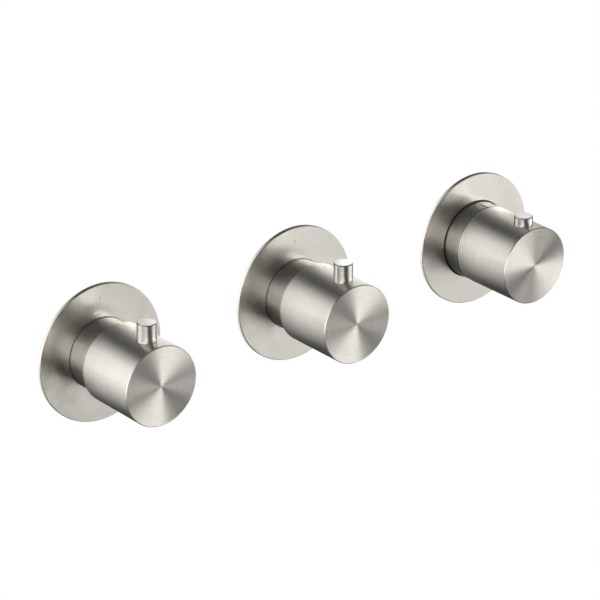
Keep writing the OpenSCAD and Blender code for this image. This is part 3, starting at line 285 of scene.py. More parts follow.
@dataclass(frozen=True)
class Finish(ABC):
    """What a surface is made of.

    Attributes:
        colour: Its own colour.
        roughness: Its roughness where it is least and most worn.
        metallic: How far it is metal.
        contrast: The brightness of its darkest and lightest places.
        tone_span: The values of its texture between which it goes from dark to light.
        wear_span: The values between which it goes from least to most worn.
        depth: The depth of its relief.
        relief: The share of the depth that shows.
    """

    colour: Rgb = WARM_NICKEL
    roughness: Flat = (0.27, 0.36)
    metallic: float = 1.0
    contrast: Flat = (0.94, 1.04)
    tone_span: Flat = EVEN_SPAN
    wear_span: Flat = NOISE_SPAN
    depth: float = 0.015 * MM
    relief: float = 0.35

    def make(self, name: str) -> Material:
        """Builds the material.

        Args:
            name: The material's name.

        Returns:
            The material.
        """
        material = bpy.data.materials.new(name)
        sheet = NodeSheet(material)
        tone, wear, height = self.texture(sheet)
        bump = {"Distance": self.depth, "Strength": self.relief, "Height": height}
        values = {
            "Base Color": sheet.ramp(sheet.stretch(tone, self.tone_span), self.tones()),
            "Metallic": self.metallic,
            "Roughness": sheet.stretch(wear, self.wear_span, self.roughness),
            "Normal": sheet.feed("ShaderNodeBump", bump)[0],
            **self.highlight(sheet),
        }
        sheet.show(sheet.feed("ShaderNodeBsdfPrincipled", values)[0])
        return material

    def tones(self) -> list[tuple[float, Rgb]]:
        """Returns its darkest and lightest colours, as the stops of a ramp."""
        return list(enumerate(shades(self.colour, *self.contrast)))

    def highlight(self, sheet: NodeSheet) -> dict[str, Any]:
        """Returns the main shader's inputs, by name, that draw out its highlights."""
        return {}

    @abstractmethod
    def texture(self, sheet: NodeSheet) -> Layers:
        """Returns what its colour, roughness and relief follow."""


@dataclass(frozen=True, kw_only=True)
class SpunNickel(Finish):
    """Warm nickel on a turned piece, brushed in rings about its axis.

    Attributes:
        centre: A point on the axis.
        spin: The direction of the axis.
        stretch: How far a highlight is drawn out.
        swirl: The turn of its highlights, as a share of a full one. At 0.25 they spread across
            the rings.
        ring_width: The width of the finest rings.
        band_width: The width of the streaks that can be told apart.
        ring_run: The finest rings' breaks in a radian.
        band_run: The streaks' breaks in a radian.
        ring_share: The finest rings' share of the relief.
        still: The distance from the axis inside which the breaks fade.
    """

    centre: Point
    spin: Spin = Spin.ABOUT_Y
    roughness: Flat = (0.32, 0.42)
    contrast: Flat = (0.90, 1.08)
    tone_span: Flat = BLEND_SPAN
    depth: float = 0.02 * MM
    relief: float = 0.2
    stretch: float = 0.72
    swirl: float = 0.25
    ring_width: float = 0.25 * MM
    band_width: float = 0.8 * MM
    ring_run: float = 1.6
    band_run: float = 7.0
    ring_share: float = 0.6
    still: float = 0.1 * MM

    def texture(self, sheet: NodeSheet) -> Layers:
        """Builds noise that is fine across the rings and long round them.

        Args:
            sheet: The material's nodes.

        Returns:
            What its colour, roughness and relief follow.
        """
        places = (sheet.object_point(), self.centre)
        x, y, z = sheet.split(sheet.feed("ShaderNodeVectorMath", places, operation="SUBTRACT")[0])
        side, along = (z, y) if self.spin is Spin.ABOUT_Y else (y, z)
        reach = sheet.calc("SQRT", sheet.calc("ADD", sheet.times(x, x), sheet.times(side, side)))
        safe = sheet.calc("MAXIMUM", reach, self.still)
        turn, tilt = sheet.calc("DIVIDE", x, safe), sheet.calc("DIVIDE", side, safe)
        kinds = ((1 / self.ring_width, self.ring_run), (1 / self.band_width, self.band_run))
        rings, bands = (
            sheet.noise(
                sheet.gather(*map(sheet.times, (reach, turn, tilt), (fine, run, run))),
                extra=sheet.times(along, fine),
            )
            for fine, run in kinds
        )
        height = sheet.blend(rings, bands, self.ring_share)
        return height, bands, height

    def highlight(self, sheet: NodeSheet) -> dict[str, Any]:
        """Draws its highlights out, across the rings or at an angle to them.

        Args:
            sheet: The material's nodes.

        Returns:
            The main shader's inputs by name.
        """
        tangent = sheet.node("ShaderNodeTangent", direction_type="RADIAL", axis=self.spin.value)
        return {
            "Anisotropic": self.stretch,
            "Anisotropic Rotation": self.swirl,
            "Tangent": tangent.outputs[0],
        }


@dataclass(frozen=True)
class CrossNickel(Finish):
    """Warm nickel on a flat plate, brushed finely both ways so that it glows evenly.

    Attributes:
        line_width: The width of a brush line.
        line_length: The length of a brush line.
        cloud: The size of its smoother places.
    """

    line_width: float = 0.25 * MM
    line_length: float = 4.0 * MM
    cloud: float = 9.0 * MM

    def texture(self, sheet: NodeSheet) -> Layers:
        """Builds fine lines both ways.

        Args:
            sheet: The material's nodes.

        Returns:
            What its colour, roughness and relief follow.
        """
        x, y, z = sheet.split(sheet.object_point())
        scales = (1 / self.line_width, 1 / self.line_length, 1 / self.line_width)
        places = (sheet.gather(*map(sheet.times, way, scales)) for way in ((x, z, y), (z, x, y)))
        height = sheet.blend(*map(sheet.noise, places), 0.5)
        return height, sheet.noise(sheet.object_point(), 1 / self.cloud, 2.0), height


@dataclass(frozen=True, kw_only=True)
class GrainedPiece(Finish):
    """A piece with a grain and duller places, such as cast or turned metal.

    Attributes:
        stain: The colour of its duller places.
        grain: The size of the grain.
        patch: The size of the duller places.
        grain_share: The grain's share of the colour.
    """

    stain: Rgb
    grain: float
    patch: float = 14 * MM
    grain_share: float = 0.35
    tone_span: Flat = BLEND_SPAN
    wear_span: Flat = BLEND_SPAN
    relief: float = 0.6

    def tones(self) -> list[tuple[float, Rgb]]:
        """Returns its stain and its own colour, as the stops of a ramp."""
        return [(0.0, self.stain), (1.0, self.colour)]

    def texture(self, sheet: NodeSheet) -> Layers:
        """Builds the grain and the duller places.

        Args:
            sheet: The material's nodes.

        Returns:
            What its colour, roughness and relief follow.
        """
        point = sheet.object_point()
        grain, patches = (sheet.noise(point, 1 / size) for size in (self.grain, self.patch))
        share = sheet.blend(grain, patches, self.grain_share)
        return share, share, grain


@dataclass(frozen=True, kw_only=True)
class MouldedPiece(GrainedPiece):
    """Rubber, foam, plastic or ceramic with a fine skin, and with its patch counted in grains."""

    metallic: float = 0.0
    patch: float = 12.0
    grain_share: float = 0.6
    tone_span: Flat = EVEN_SPAN
    wear_span: Flat = NOISE_SPAN
    relief: float = 0.5

    def texture(self, sheet: NodeSheet) -> Layers:
        """Builds the skin's grain and its smoother places.

        Args:
            sheet: The material's nodes.

        Returns:
            What its colour, roughness and relief follow.
        """
        grain = sheet.noise(sheet.object_point(), 1 / self.grain)
        patches = sheet.noise(sheet.object_point(), 1 / (self.patch * self.grain), 2.0)
        return sheet.blend(grain, patches, self.grain_share), patches, grain


@dataclass(frozen=True)
class MarkPaint(Finish):
    """The flat fill of a printed or sunk mark on the nickel, and the flat colour of painted shade
    and painted highlights.

    Attributes:
        grain: The size of its grain.
    """

    roughness: Flat = (0.44, 0.56)
    metallic: float = 0.0
    contrast: Flat = (0.85, 1.15)
    tone_span: Flat = (0.0, 1.0)
    depth: float = 0.01 * MM
    relief: float = 0.3
    grain: float = 0.15 * MM

    def texture(self, sheet: NodeSheet) -> Layers:
        """Returns the fill's grain three times over."""
        return (sheet.noise(sheet.object_point(), 1 / self.grain, 2.0),) * 3


TOP_MARK = MarkPaint((0.55, 0.52, 0.44), (0.27, 0.39), 1.0)
SIDE_MARK = MarkPaint((0.36, 0.34, 0.21))
# Painted shade: a dark colour laid on the groove's walls and floor in place of the shadow there.
GROOVE_PAINTED_SHADE = MarkPaint((0.07, 0.065, 0.056), metallic=0.5)
# Painted shade: a near-black colour for the walls of the index slot, where shade falls.
SLOT_PAINTED_SHADE = MarkPaint((0.03, 0.027, 0.023))
NUMBER_FILL = MarkPaint((0.07, 0.065, 0.055))
# Painted highlight: a pale colour, brighter than the nickel, for the small dome at the slot's rear
# end.
DOT_PAINTED_HIGHLIGHT = MarkPaint((0.85, 0.82, 0.76), (0.24, 0.36), 0.6)

# Each slot's colour, duller colour, roughness there and elsewhere, and grain size and depth in mm.
METALS = (
    (Slot.CAST_BRASS, (0.68, 0.53, 0.30), (0.50, 0.37, 0.19), (0.52, 0.34), 0.7, 0.12),
    (Slot.TURNED_BRASS, (0.86, 0.70, 0.42), (0.74, 0.57, 0.31), (0.30, 0.18), 0.3, 0.01),
    (Slot.ZINC_STEEL, (0.66, 0.68, 0.71), (0.52, 0.53, 0.56), (0.42, 0.26), 1.6, 0.01),
    (Slot.SPRING_STEEL, (0.60, 0.60, 0.60), (0.47, 0.47, 0.48), (0.34, 0.20), 0.3, 0.008),
    (Slot.COPPER, (0.82, 0.48, 0.32), (0.60, 0.31, 0.19), (0.42, 0.24), 2.0, 0.01),
)
MOULDINGS = (
    (Slot.BLACK_RUBBER, (0.030, 0.030, 0.032), (0.016, 0.016, 0.017), (0.45, 0.62), 0.3, 0.02),
    (Slot.GREY_FOAM, (0.22, 0.22, 0.23), (0.10, 0.10, 0.11), (0.85, 0.95), 0.5, 0.2),
    (Slot.WHITE_CERAMIC, (0.84, 0.82, 0.77), (0.76, 0.74, 0.68), (0.12, 0.22), 0.4, 0.004),
    (Slot.PALE_PLASTIC, (0.74, 0.74, 0.70), (0.66, 0.66, 0.62), (0.38, 0.52), 0.3, 0.01),
)
HIDDEN_FINISHES: dict[Slot, Finish] = {
    slot: kind(colour=colour, stain=stain, roughness=rough, grain=grain * MM, depth=depth * MM)
    for kind, rows in ((GrainedPiece, METALS), (MouldedPiece, MOULDINGS))
    for slot, colour, stain, rough, grain, depth in rows
}


def named(rows: Sequence[dict[str, Any]], name: str, key: str = "name") -> dict[str, Any]:
    """Returns the row of a table in the record that carries a name."""
    return next(row for row in rows if row[key] == name)


def dress(node: str, material: Material) -> None:
    """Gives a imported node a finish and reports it.

    Args:
        node: The node's name.
        material: Its finish.
    """
    materials = FRAME["nodes"][node].data.materials
    materials.clear()
    materials.append(material)
    LOG.info("%s wears %s", node, material.name)


def dress_where(
    node: str, material: Material, chosen: Callable[[Vector, Vector], bool]
) -> None:
    """Gives some polygons of a node that is already dressed a finish of their own.

    Args:
        node: The node's name.
        material: Their finish.
        chosen: Tells from a polygon's normal and centre whether it gets the finish.
    """
    mesh = FRAME["nodes"][node].data
    mesh.materials.append(material)
    picked = [polygon for polygon in mesh.polygons if chosen(polygon.normal, polygon.center)]
    for polygon in picked:
        polygon.material_index = len(mesh.materials) - 1
    LOG.info("%s wears %s on %d of its polygons", node, material.name, len(picked))


def dress_flat(node: str, material: Material, facing: Vector) -> None:
    """Gives the flat end of a node that is already dressed a finish of its own.

    Args:
        node: The node's name.
        material: The finish of the flat end.
        facing: The way that the end faces, away from the valve's middle.
    """
    end = max(corner.dot(facing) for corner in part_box(node)) - END_REACH

    def at_end(normal: Vector, centre: Vector) -> bool:
        """Returns whether a polygon is in the flat end."""
        return normal.dot(facing) > FLAT_FACING and centre.dot(facing) > end

    dress_where(node, material, at_end)


def width_of(node: str) -> float:
    """Returns a node's width."""
    low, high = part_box(node)
    return high.x - low.x


def stand(name: str, data: Any) -> bpy.types.Object:
    """Puts a new object in the scene.

    Args:
        name: The object's name.
        data: Its mesh, lamp or camera.

    Returns:
        The new object.
    """
    stood = bpy.data.objects.new(name, data)
    bpy.context.scene.collection.objects.link(stood)
    return stood


def add_piece(
    name: str,
    mesh: Mesh,
    material: Material,
    slot: Slot = Slot.BRUSHED_NICKEL,
    body: Body = Body.VALVE,
) -> bpy.types.Object:
    """Adds a piece of the valve that rides on one of its bodies.

    Args:
        name: The piece's name.
        mesh: Its mesh, in the valve's frame.
        material: Its finish.
        slot: The record's slot of that finish; not used.
        body: The body that it rides on.

    Returns:
        The new object.
    """
    piece = stand(name, mesh)
    mesh.materials.append(material)
    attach(piece, body.value)
    LOG.info("%s has %d faces and rides on %s", name, len(mesh.polygons), body.value)
    return piece


def mesh_of(name: str, tubes: Sequence[Tube], smooth: bool = False) -> Mesh:
    """Makes a mesh of tubes, each a row of loops with the same number of points.

    Args:
        name: The mesh's name.
        tubes: Each tube's loops, and whether its last loop joins its first one. If it doesn't,
            each end is closed by a face.
        smooth: Whether its faces are shaded smooth.

    Returns:
        The mesh.
    """
    points: list[Point] = []
    faces: list[Sequence[int]] = []
    for loops, joined in tubes:
        start, sides = len(points), len(loops[0])
        points += [point for loop in loops for point in loop]
        rows = [range(row, row + sides) for row in range(start, len(points), sides)]
        for here, there in zip(rows, rows[1:] + rows[:1] if joined else rows[1:]):
            for side in range(sides):
                after = (side + 1) % sides
                faces.append((here[side], here[after], there[after], there[side]))
        if not joined:
            faces += [rows[0][::-1], rows[-1]]
    mesh = bpy.data.meshes.new(name)
    mesh.from_pydata(points, [], faces)
    mesh.validate()
    for polygon in mesh.polygons:
        polygon.use_smooth = smooth
    return mesh


@dataclass(frozen=True)
class Stroke:
    """A line of a mark, with round ends, drawn flat before it is laid on a surface.

    Attributes:
        path: The points of its middle line, across and up.
        width: Its width.
        closed: Whether its end joins its start.
        cap: The points of a round end from its tip, each a reach beyond the path's end and half
            the line's width there, as shares of half the line's own width.
    """

    path: tuple[Flat, ...]
    width: float
    closed: bool = False
    cap: tuple[Flat, ...] = ((0.98, 0.2), (0.7, 0.714))

    def sides(self) -> tuple[list[Flat], list[Flat]]:
        """Returns the points of its left and right edges, with a round cap at each open end."""
        points, halves = list(self.path), [1.0] * len(self.path)
        if not self.closed:
            caps = [half for _, half in self.cap]
            first = [self._beyond(points[0], points[1], reach) for reach, _ in self.cap]
            last = [self._beyond(points[-1], points[-2], reach) for reach, _ in self.cap[::-1]]
            points, halves = first + points + last, caps + halves + caps[::-1]
        left, right = [], []
        first, last = (points[-1], points[0]) if self.closed else (points[0], points[-1])
        before, after = [first, *points[:-1]], [*points[1:], last]
        for (u, v), half, (u_from, v_from), (u_to, v_to) in zip(points, halves, before, after):
            run, shift = math.hypot(u_to - u_from, v_to - v_from), half * self.width / 2
            across, up = -(v_to - v_from) / run * shift, (u_to - u_from) / run * shift
            left.append((u + across, v + up))
            right.append((u - across, v - up))
        return left, right

    def _beyond(self, end: Flat, inner: Flat, reach: float) -> Flat:
        """Returns a point beyond one end of the path.

        Args:
            end: The path's last point there.
            inner: The point before it.
            reach: The distance beyond the end, as a share of half the line's width.

        Returns:
            The point.
        """
        step = self.width / 2 * reach / math.hypot(end[0] - inner[0], end[1] - inner[1])
        return end[0] + (end[0] - inner[0]) * step, end[1] + (end[1] - inner[1]) * step


def lay_mark(
    name: str,
    strokes: Sequence[Stroke],
    fill: Material,
    place: Placing,
    rise: float,
    sink: float,
) -> None:
    """Lays the thin solids of a mark's strokes on a surface.

    Args:
        name: The mark's name.
        strokes: The strokes.
        fill: Its finish.
        place: Gives the point at a distance across, up and above the surface.
        rise: How far the mark stands above the surface.
        sink: How far it reaches below it.
    """
    tubes = []
    for stroke in strokes:
        loops = [
            (place(*left, rise), place(*right, rise), place(*right, -sink), place(*left, -sink))
            for left, right in zip(*stroke.sides())
        ]
        tubes.append((loops, stroke.closed))
    add_piece(name, mesh_of(name, tubes), fill)


def arc(centre: Flat, radius: float, start: float, end: float, steps: int = 24) -> tuple[Flat, ...]:
    """Returns points on a flat arc.

    Args:
        centre: Its centre.
        radius: Its radius.
        start: Its first angle in degrees, anticlockwise from the right.
        end: Its last angle.
        steps: The number of its points, without the last one of a full ring.

    Returns:
        The points.
    """
    full = abs(end - start) >= 360
    span = steps if full else steps - 1
    angles = [math.radians(start + (end - start) * step / span) for step in range(steps)]
    u, v = centre
    return tuple((u + radius * math.cos(angle), v + radius * math.sin(angle)) for angle in angles)


@dataclass
class Trim:
    """One round trim: a rose, a sleeve and what turns on them.

    Attributes:
        label: The first word of its nodes' names.
        mark_width: The width of a rose's mark.
        mark_length: The length of a rose's mark.
        mark_reach: The distance of a rose's mark from the axis.
        mark_rise: How far a rose's mark stands above the rose.
        mark_sink: How far it reaches into the rose.
        sleeve_painted_shade: The brightness of the sleeve, kept low as painted shade.
        face_swirl: The turn of the highlights on the knob's face, as a share of a full one.
        face_painted_light: The brightness of the knob's face, raised on one trim and lowered on
            another as painted light.
        edge_painted_highlight: The brightness of the knob's chamfered edges, raised as a painted
            highlight.
        pin_painted_highlight: The brightness of the top of the knob's pin, raised as a painted
            highlight.
    """

    label: str
    mark_width: float = 0.9 * MM
    mark_length: float = 2.2 * MM
    mark_reach: float = 28.0 * MM
    mark_rise: float = 0.012 * MM
    mark_sink: float = 0.1 * MM
    sleeve_painted_shade: float = 0.63
    face_swirl: float = 0.25
    face_painted_light: float = 1.0
    edge_painted_highlight: float = 1.15
    pin_painted_highlight: float = 1.4

    @cached_property
    def axis_x(self) -> float:
        """The place of the trim's axis."""
        low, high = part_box(f"{self.label}_rose")
        return (low.x + high.x) / 2

    def dress_metal(self) -> None:
        """Finishes the rose, the sleeve and the knob."""
        centre = (self.axis_x, 0.0, 0.0)
        knob = f"{self.label}_knob"
        dress(f"{self.label}_rose", CrossNickel().make(f"{self.label}_rose_nickel"))
        # Painted shade: the sleeve is a darker copy of the knob's nickel, for the shadow of the
        # knob and rose.
        sleeve = SpunNickel(centre=centre, colour=nickel(self.sleeve_painted_shade), stretch=0.5)
        dress(f"{self.label}_sleeve", sleeve.make(f"{self.label}_sleeve_painted_shade_nickel"))
        dress(knob, SpunNickel(centre=centre).make(f"{knob}_nickel"))
        # Painted light: the face's colour is raised or lowered per trim for the light that falls on
        # it.
        face = SpunNickel(
            centre=centre,
            colour=nickel(self.face_painted_light),
            roughness=(0.48, 0.55),
            stretch=0.90,
            swirl=self.face_swirl,
        )
        dress_flat(knob, face.make(f"{self.label}_face_painted_light_nickel"), Vector((0, -1, 0)))
        # Painted highlight: the chamfered edges get a brighter copy of the nickel.
        edge = CrossNickel(nickel(self.edge_painted_highlight), roughness=(0.30, 0.36))
        edge_highlight_nickel = edge.make(f"{self.label}_edge_highlight_nickel")
        low, high = EDGE_FACING
        dress_where(knob, edge_highlight_nickel, lambda normal, _: low < abs(normal.y) < high)

    def dress_pin(self, node: str) -> None:
        """Finishes the round pin on top of the knob.

        Args:
            node: The pin's node.
        """
        side = SpunNickel(
            centre=(self.axis_x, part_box(node)[0].y + width_of(node) / 2, 0.0),
            spin=Spin.ABOUT_Z,
            roughness=(0.27, 0.34),
            stretch=0.15,
            ring_width=0.15 * MM,
            band_width=0.5 * MM,
        )
        dress(node, side.make(f"{node}_nickel"))
        # Painted highlight: the pin's flat top gets a brighter copy of the nickel.
        top = CrossNickel(nickel(self.pin_painted_highlight), roughness=(0.30, 0.40))
        dress_flat(node, top.make(f"{node}_top_highlight_nickel"), Vector((0, 0, 1)))

    def mark_rose(self, name: str, turn: float, paint: MarkPaint) -> None:
        """Lays a small upright mark on the rose.

        Args:
            name: The mark's name.
            turn: Its angle in degrees, anticlockwise from the top as seen from the room.
            paint: Its fill.
        """
        half = (self.mark_length - self.mark_width) / 2
        stroke = Stroke(((0.0, -half), (0.0, half)), self.mark_width)
        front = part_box(f"{self.label}_rose")[0].y
        middle_x = self.axis_x - self.mark_reach * math.sin(math.radians(turn))
        middle_z = self.mark_reach * math.cos(math.radians(turn))

        def place(across: float, up: float, above: float) -> Point:
            """Returns a point near the mark's middle."""
            return middle_x + across, front - above, middle_z + up

        fill = paint.make(f"{name}_fill")
        lay_mark(name, [stroke], fill, place, self.mark_rise, self.mark_sink)


@dataclass
class StopTrim(Trim):
    """The trim of a stop valve, with a lever on its knob."""

    def build(self) -> None:
        """Finishes the trim and lays its marks."""
        self.dress_metal()
        self.dress_pin(f"{self.label}_lever")
        self.mark_rose(f"{self.label}_top_mark", 0.0, TOP_MARK)
        self.mark_rose(f"{self.label}_side_mark", 90.0, SIDE_MARK)


@dataclass
class TemperatureTrim(Trim):
    """The temperature control's trim, with a button on its knob and a number on its sleeve.

    Attributes:
        bead_width: The width of the bead at the knob's rear.
        bead_chamfer: The chamfer at the bead's rear.
        bead_inset: How far the bead lies inside the knob's radius.
        bead_crown: The height of the bead's rounding.
        bead_foot: How far the crown reaches into the bead.
        bead_painted_highlight: The brightness of the bead, raised as a painted highlight.
        bead_steps: The steps of the crown.
        bead_sides: The number of points round the bead.
        groove_width: The width of the groove ahead of the bead.
        groove_depth: The groove's depth, with a little to spare.
        digit_height: The height of the number's digits.
        digit_width: Their width.
        digit_gap: The gap between them.
        digit_line: The width of their lines.
        digit_top: The size of their upper loops, as a share of half the digit.
        digit_rise: How far they stand above the sleeve.
        digit_sink: How far they reach into the sleeve.
        number_turn: The number's angle from the top, in degrees to the right.
        number_middle: The distance of its middle from the wall.
        slot_half: Half the index slot's width, with a little to spare.
        slot_lip: The depth below the sleeve's face at which the painted shade on the slot's walls
            starts.
        slot_depth: The slot's depth, with a little to spare.
        slot_end: The distance of the index slot's rear end from the wall.
        dot_size: The size of the dot there.
        dot_rise: How far the dot stands above the sleeve.
        spare: How far a polygon may lie outside the place that it is picked from.
    """

    label: str = "temperature"
    bead_width: float = 1.1 * MM
    bead_chamfer: float = 0.3 * MM
    bead_inset: float = 0.2 * MM
    bead_crown: float = 0.13 * MM
    bead_foot: float = 0.05 * MM
    bead_painted_highlight: float = 1.5
    bead_steps: int = 8
    bead_sides: int = 160
    groove_width: float = 0.35 * MM
    groove_depth: float = 0.6 * MM
    digit_height: float = 2.9 * MM
    digit_width: float = 1.75 * MM
    digit_gap: float = 0.45 * MM
    digit_line: float = 0.42 * MM
    digit_top: float = 1.08
    digit_rise: float = 0.02 * MM
    digit_sink: float = 0.08 * MM
    number_turn: float = 20.0
    number_middle: float = 8.2 * MM
    slot_half: float = 0.45 * MM
    slot_lip: float = 0.03 * MM
    slot_depth: float = 0.9 * MM
    slot_end: float = 4.6 * MM
    dot_size: float = 0.9 * MM
    dot_rise: float = 0.05 * MM
    spare: float = 0.02 * MM
    face_swirl: float = 0.042
    # Painted light: this trim's face is painted darker and its pin's top lighter than the others'.
    face_painted_light: float = 0.92
    pin_painted_highlight: float = 1.6

    def build(self) -> None:
        """Finishes the trim, and lays its mark, bead, number and dot."""
        self.dress_metal()
        self.dress_pin("override_button")
        self.mark_rose("temperature_side_mark", 90.0, SIDE_MARK)
        self.round_bead()
        self.paint_slot()
        self.lay_number()
        self.lay_dot()

    @cached_property
    def sleeve_radius(self) -> float:
        """The outer radius of the sleeve."""
        return width_of("temperature_sleeve") / 2

    def on_sleeve(self, turn: float, from_wall: float) -> Placing:
        """Gives the placing of flat points on the sleeve.

        Args:
            turn: The middle's angle from the top, in degrees to the right.
            from_wall: The middle's distance from the wall.

        Returns:
            A function of the distance across, up and above the sleeve.
        """
        radius = self.sleeve_radius

        def place(across: float, up: float, above: float) -> Point:
            """Returns a point near that middle."""
            angle, reach = math.radians(turn) + across / radius, radius + above
            return self.axis_x + reach * math.sin(angle), -from_wall + up, reach * math.cos(angle)

        return place

    def round_bead(self) -> None:
        """Crowns the bead at the knob's rear in a painted highlight, and paints shade into the
        groove ahead of it.
        """
        radius = width_of("temperature_knob") / 2
        groove_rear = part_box("temperature_knob")[1].y - self.bead_width
        low, high = radius - self.groove_depth, radius - self.bead_inset / 2

        def in_groove(_: Vector, centre: Vector) -> bool:
            """Returns whether a polygon is in the groove."""
            reach, ahead = math.hypot(centre.x - self.axis_x, centre.z), groove_rear - centre.y
            return low < reach < high and -self.spare < ahead < self.groove_width + self.spare

        # Painted shade: the groove's polygons get a dark colour in place of the shadow inside it.
        dress_where("temperature_knob", GROOVE_PAINTED_SHADE.make("groove_painted_shade"), in_groove)
        run, top = self.bead_width - self.bead_chamfer, radius - self.bead_inset
        foot = top - self.bead_foot
        shares = [step / self.bead_steps for step in range(self.bead_steps + 1)]
        crown = [
            (groove_rear + run * share, top + self.bead_crown * math.sin(math.pi * share))
            for share in shares
        ]
        profile = [(groove_rear, foot), *crown, (groove_rear + run, foot)]
        loops = [
            [(self.axis_x + reach * side, depth, reach * up) for depth, reach in profile]
            for up, side in arc((0.0, 0.0), 1.0, 0, 360, self.bead_sides)
        ]
        mesh = mesh_of("knob_bead", [(loops, True)], smooth=True)
        # Painted highlight: the crowned bead gets a much brighter copy of the nickel.
        highlight_paint = CrossNickel(nickel(self.bead_painted_highlight), roughness=(0.30, 0.36)).make("bead_highlight_nickel")
        add_piece("knob_bead", mesh, highlight_paint, body=Body.TEMPERATURE_HANDLE)

    def paint_slot(self) -> None:
        """Blackens the walls of the index slot in the sleeve, as painted shade in the slot."""
        low, high = self.sleeve_radius - self.slot_depth, self.sleeve_radius - self.slot_lip

        def inside(_: Vector, centre: Vector) -> bool:
            """Returns whether a polygon is a wall of the slot."""
            across, up = centre.x - self.axis_x, centre.z
            return abs(across) < self.slot_half and up > 0 and low < math.hypot(across, up) < high

        dress_where("temperature_sleeve", SLOT_PAINTED_SHADE.make("slot_painted_shade"), inside)

    def lay_number(self) -> None:
        """Lays the two digits of the stop's temperature, built of arcs."""
        step = (self.digit_width + self.digit_gap) / 2
        small = (self.digit_height / 2 - self.digit_line) / 2 * self.digit_top
        large = (self.digit_height - self.digit_line) / 2 - small
        top = self.digit_height / 2 - self.digit_line / 2 - small
        foot = -self.digit_height / 2 + self.digit_line / 2 + large
        three = arc((-step, top), small, 150, -70), arc((-step, foot), large, 75, -150)
        eight = arc((step, top), small, 0, 360), arc((step, foot), large, 0, 360)
        strokes = [Stroke(path, self.digit_line) for path in three]
        strokes += [Stroke(path, self.digit_line, closed=True) for path in eight]
        fill = NUMBER_FILL.make("number_fill")
        place = self.on_sleeve(self.number_turn, self.number_middle)
        lay_mark("stop_number", strokes, fill, place, self.digit_rise, self.digit_sink)

    def lay_dot(self) -> None:
        """Lays the bright dot at the rear end of the index slot: a low dome whose pale colour is a
        painted highlight.
        """
        half = self.dot_size / 8
        stroke = Stroke(((-half, 0.0), (half, 0.0)), self.dot_size)
        fill, place = DOT_PAINTED_HIGHLIGHT.make("dot_painted_highlight"), self.on_sleeve(0.0, self.slot_end)
        lay_mark("index_highlight_dot", [stroke], fill, place, self.dot_rise, self.mark_sink)


@dataclass
class PipeThread:
    """The thread ridge that winds up the bore of one half inch port.

    Attributes:
        mount: The port's name in the record.
        pitch: The thread's pitch.
        depth: The ridge's height.
        root: How far the ridge's foot lies inside the bore's wall.
        share: The share of the bore's length that is threaded.
        start: The distance of the thread's start from the port's face, in pitches.
        run_in: The turns over which the ridge rises at each end.
        ridge: The ridge's outline, each point a place in pitches and a share of the height.
        steps: The number of points in a turn.
    """

    mount: str
    pitch: float = 1.814 * MM
    depth: float = 0.8 * MM
    root: float = 0.05 * MM
    share: float = 0.8
    start: float = 1.2
    run_in: float = 0.5
    ridge: tuple[Flat, ...] = ((-0.42, 0.0), (-0.08, 1.0), (0.08, 1.0), (0.42, 0.0))
    steps: int = 48

    def build(self, material: Material) -> None:
        """Winds the ridge, flattening at both ends.

        Args:
            material: Its finish.
        """
        port = named(FRAME["record"]["mounts"], self.mount)
        centre, outward = Vector(port["pos_m"]), Vector(port["axis"])
        radius = port["dims"]["r_mm"] * MM + self.root
        turns = port["dims"]["length_mm"] * MM * self.share / self.pitch
        count, loops = int(turns * self.steps), []
        for index in range(count + 1):
            turn, left = index / self.steps, (count - index) / self.steps
            side, up = math.cos(2 * math.pi * turn), math.sin(2 * math.pi * turn)
            lead_in = min(1.0, turn / self.run_in, left / self.run_in)
            loops.append([])
            for offset, rise in self.ridge:
                reach = radius - self.depth * rise * lead_in
                height = (offset - self.start - turn) * self.pitch
                loops[-1].append(centre + Vector((reach * side, reach * up, 0)) + outward * height)
        mesh = mesh_of(f"{self.mount}_thread", [(loops, False)], smooth=True)
        add_piece(f"{self.mount}_thread", mesh, material, Slot.CAST_BRASS)


@dataclass(frozen=True)
class PressedSpring:
    """A coil spring that an upright sliding joint shortens.

    Attributes:
        node: Its CAD node.
        joint: The joint that presses it.
        body: The body that it rides on.
    """

    node: str
    joint: str
    body: Body

    def build(self, material: Material) -> None:
        """Stands a copy in for the CAD spring, riding on its body, and hides the CAD spring.

        Args:
            material: Its finish.
        """
        joint = named(FRAME["record"]["behaviour"]["joints"], self.joint)
        fixed_end = named(joint["deforming_nodes"], self.node, "node")["fixed_end_z_m"]
        length = max(abs(corner.z - fixed_end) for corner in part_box(self.node))
        mesh = FRAME["nodes"][self.node].data.copy()
        mesh.materials.clear()
        coil = add_piece(f"{self.node}_coil", mesh, material, Slot.SPRING_STEEL, self.body)
        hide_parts(self.node)
        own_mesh(coil)
        LOG.info("%s shortens with %s", coil.name, self.joint)


@dataclass
class ConcealedWorks:
    """Everything behind the wall and inside the knobs: bodies, cartridges, seals, springs and rail.

    Attributes:
        ports: The names of the threaded ports in the record.
        springs: The springs that a sliding joint shortens.
    """

    ports: tuple[str, ...] = ("hot_inlet", "cold_inlet", "left_outlet", "middle_outlet")
    springs: tuple[PressedSpring, ...] = (
        PressedSpring("hot_check_spring", "hot_check_lift", Body.VALVE),
        PressedSpring("cold_check_spring", "cold_check_lift", Body.VALVE),
        PressedSpring("override_spring", "override_press", Body.TEMPERATURE_HANDLE),
    )

    def build(self) -> None:
        """Finishes every hidden node, winds the port threads and puts copies in place of the
        springs.
        """
        finishes = {slot: finish.make(slot.value) for slot, finish in HIDDEN_FINISHES.items()}
        for part in FRAME["record"]["subparts"]:
            slot = Slot(part["material_slot"])
            if slot in finishes:
                dress(part["node"], finishes[slot])
        for port in self.ports:
            PipeThread(port).build(finishes[Slot.TURNED_BRASS])
        for spring in self.springs:
            spring.build(finishes[Slot.SPRING_STEEL])


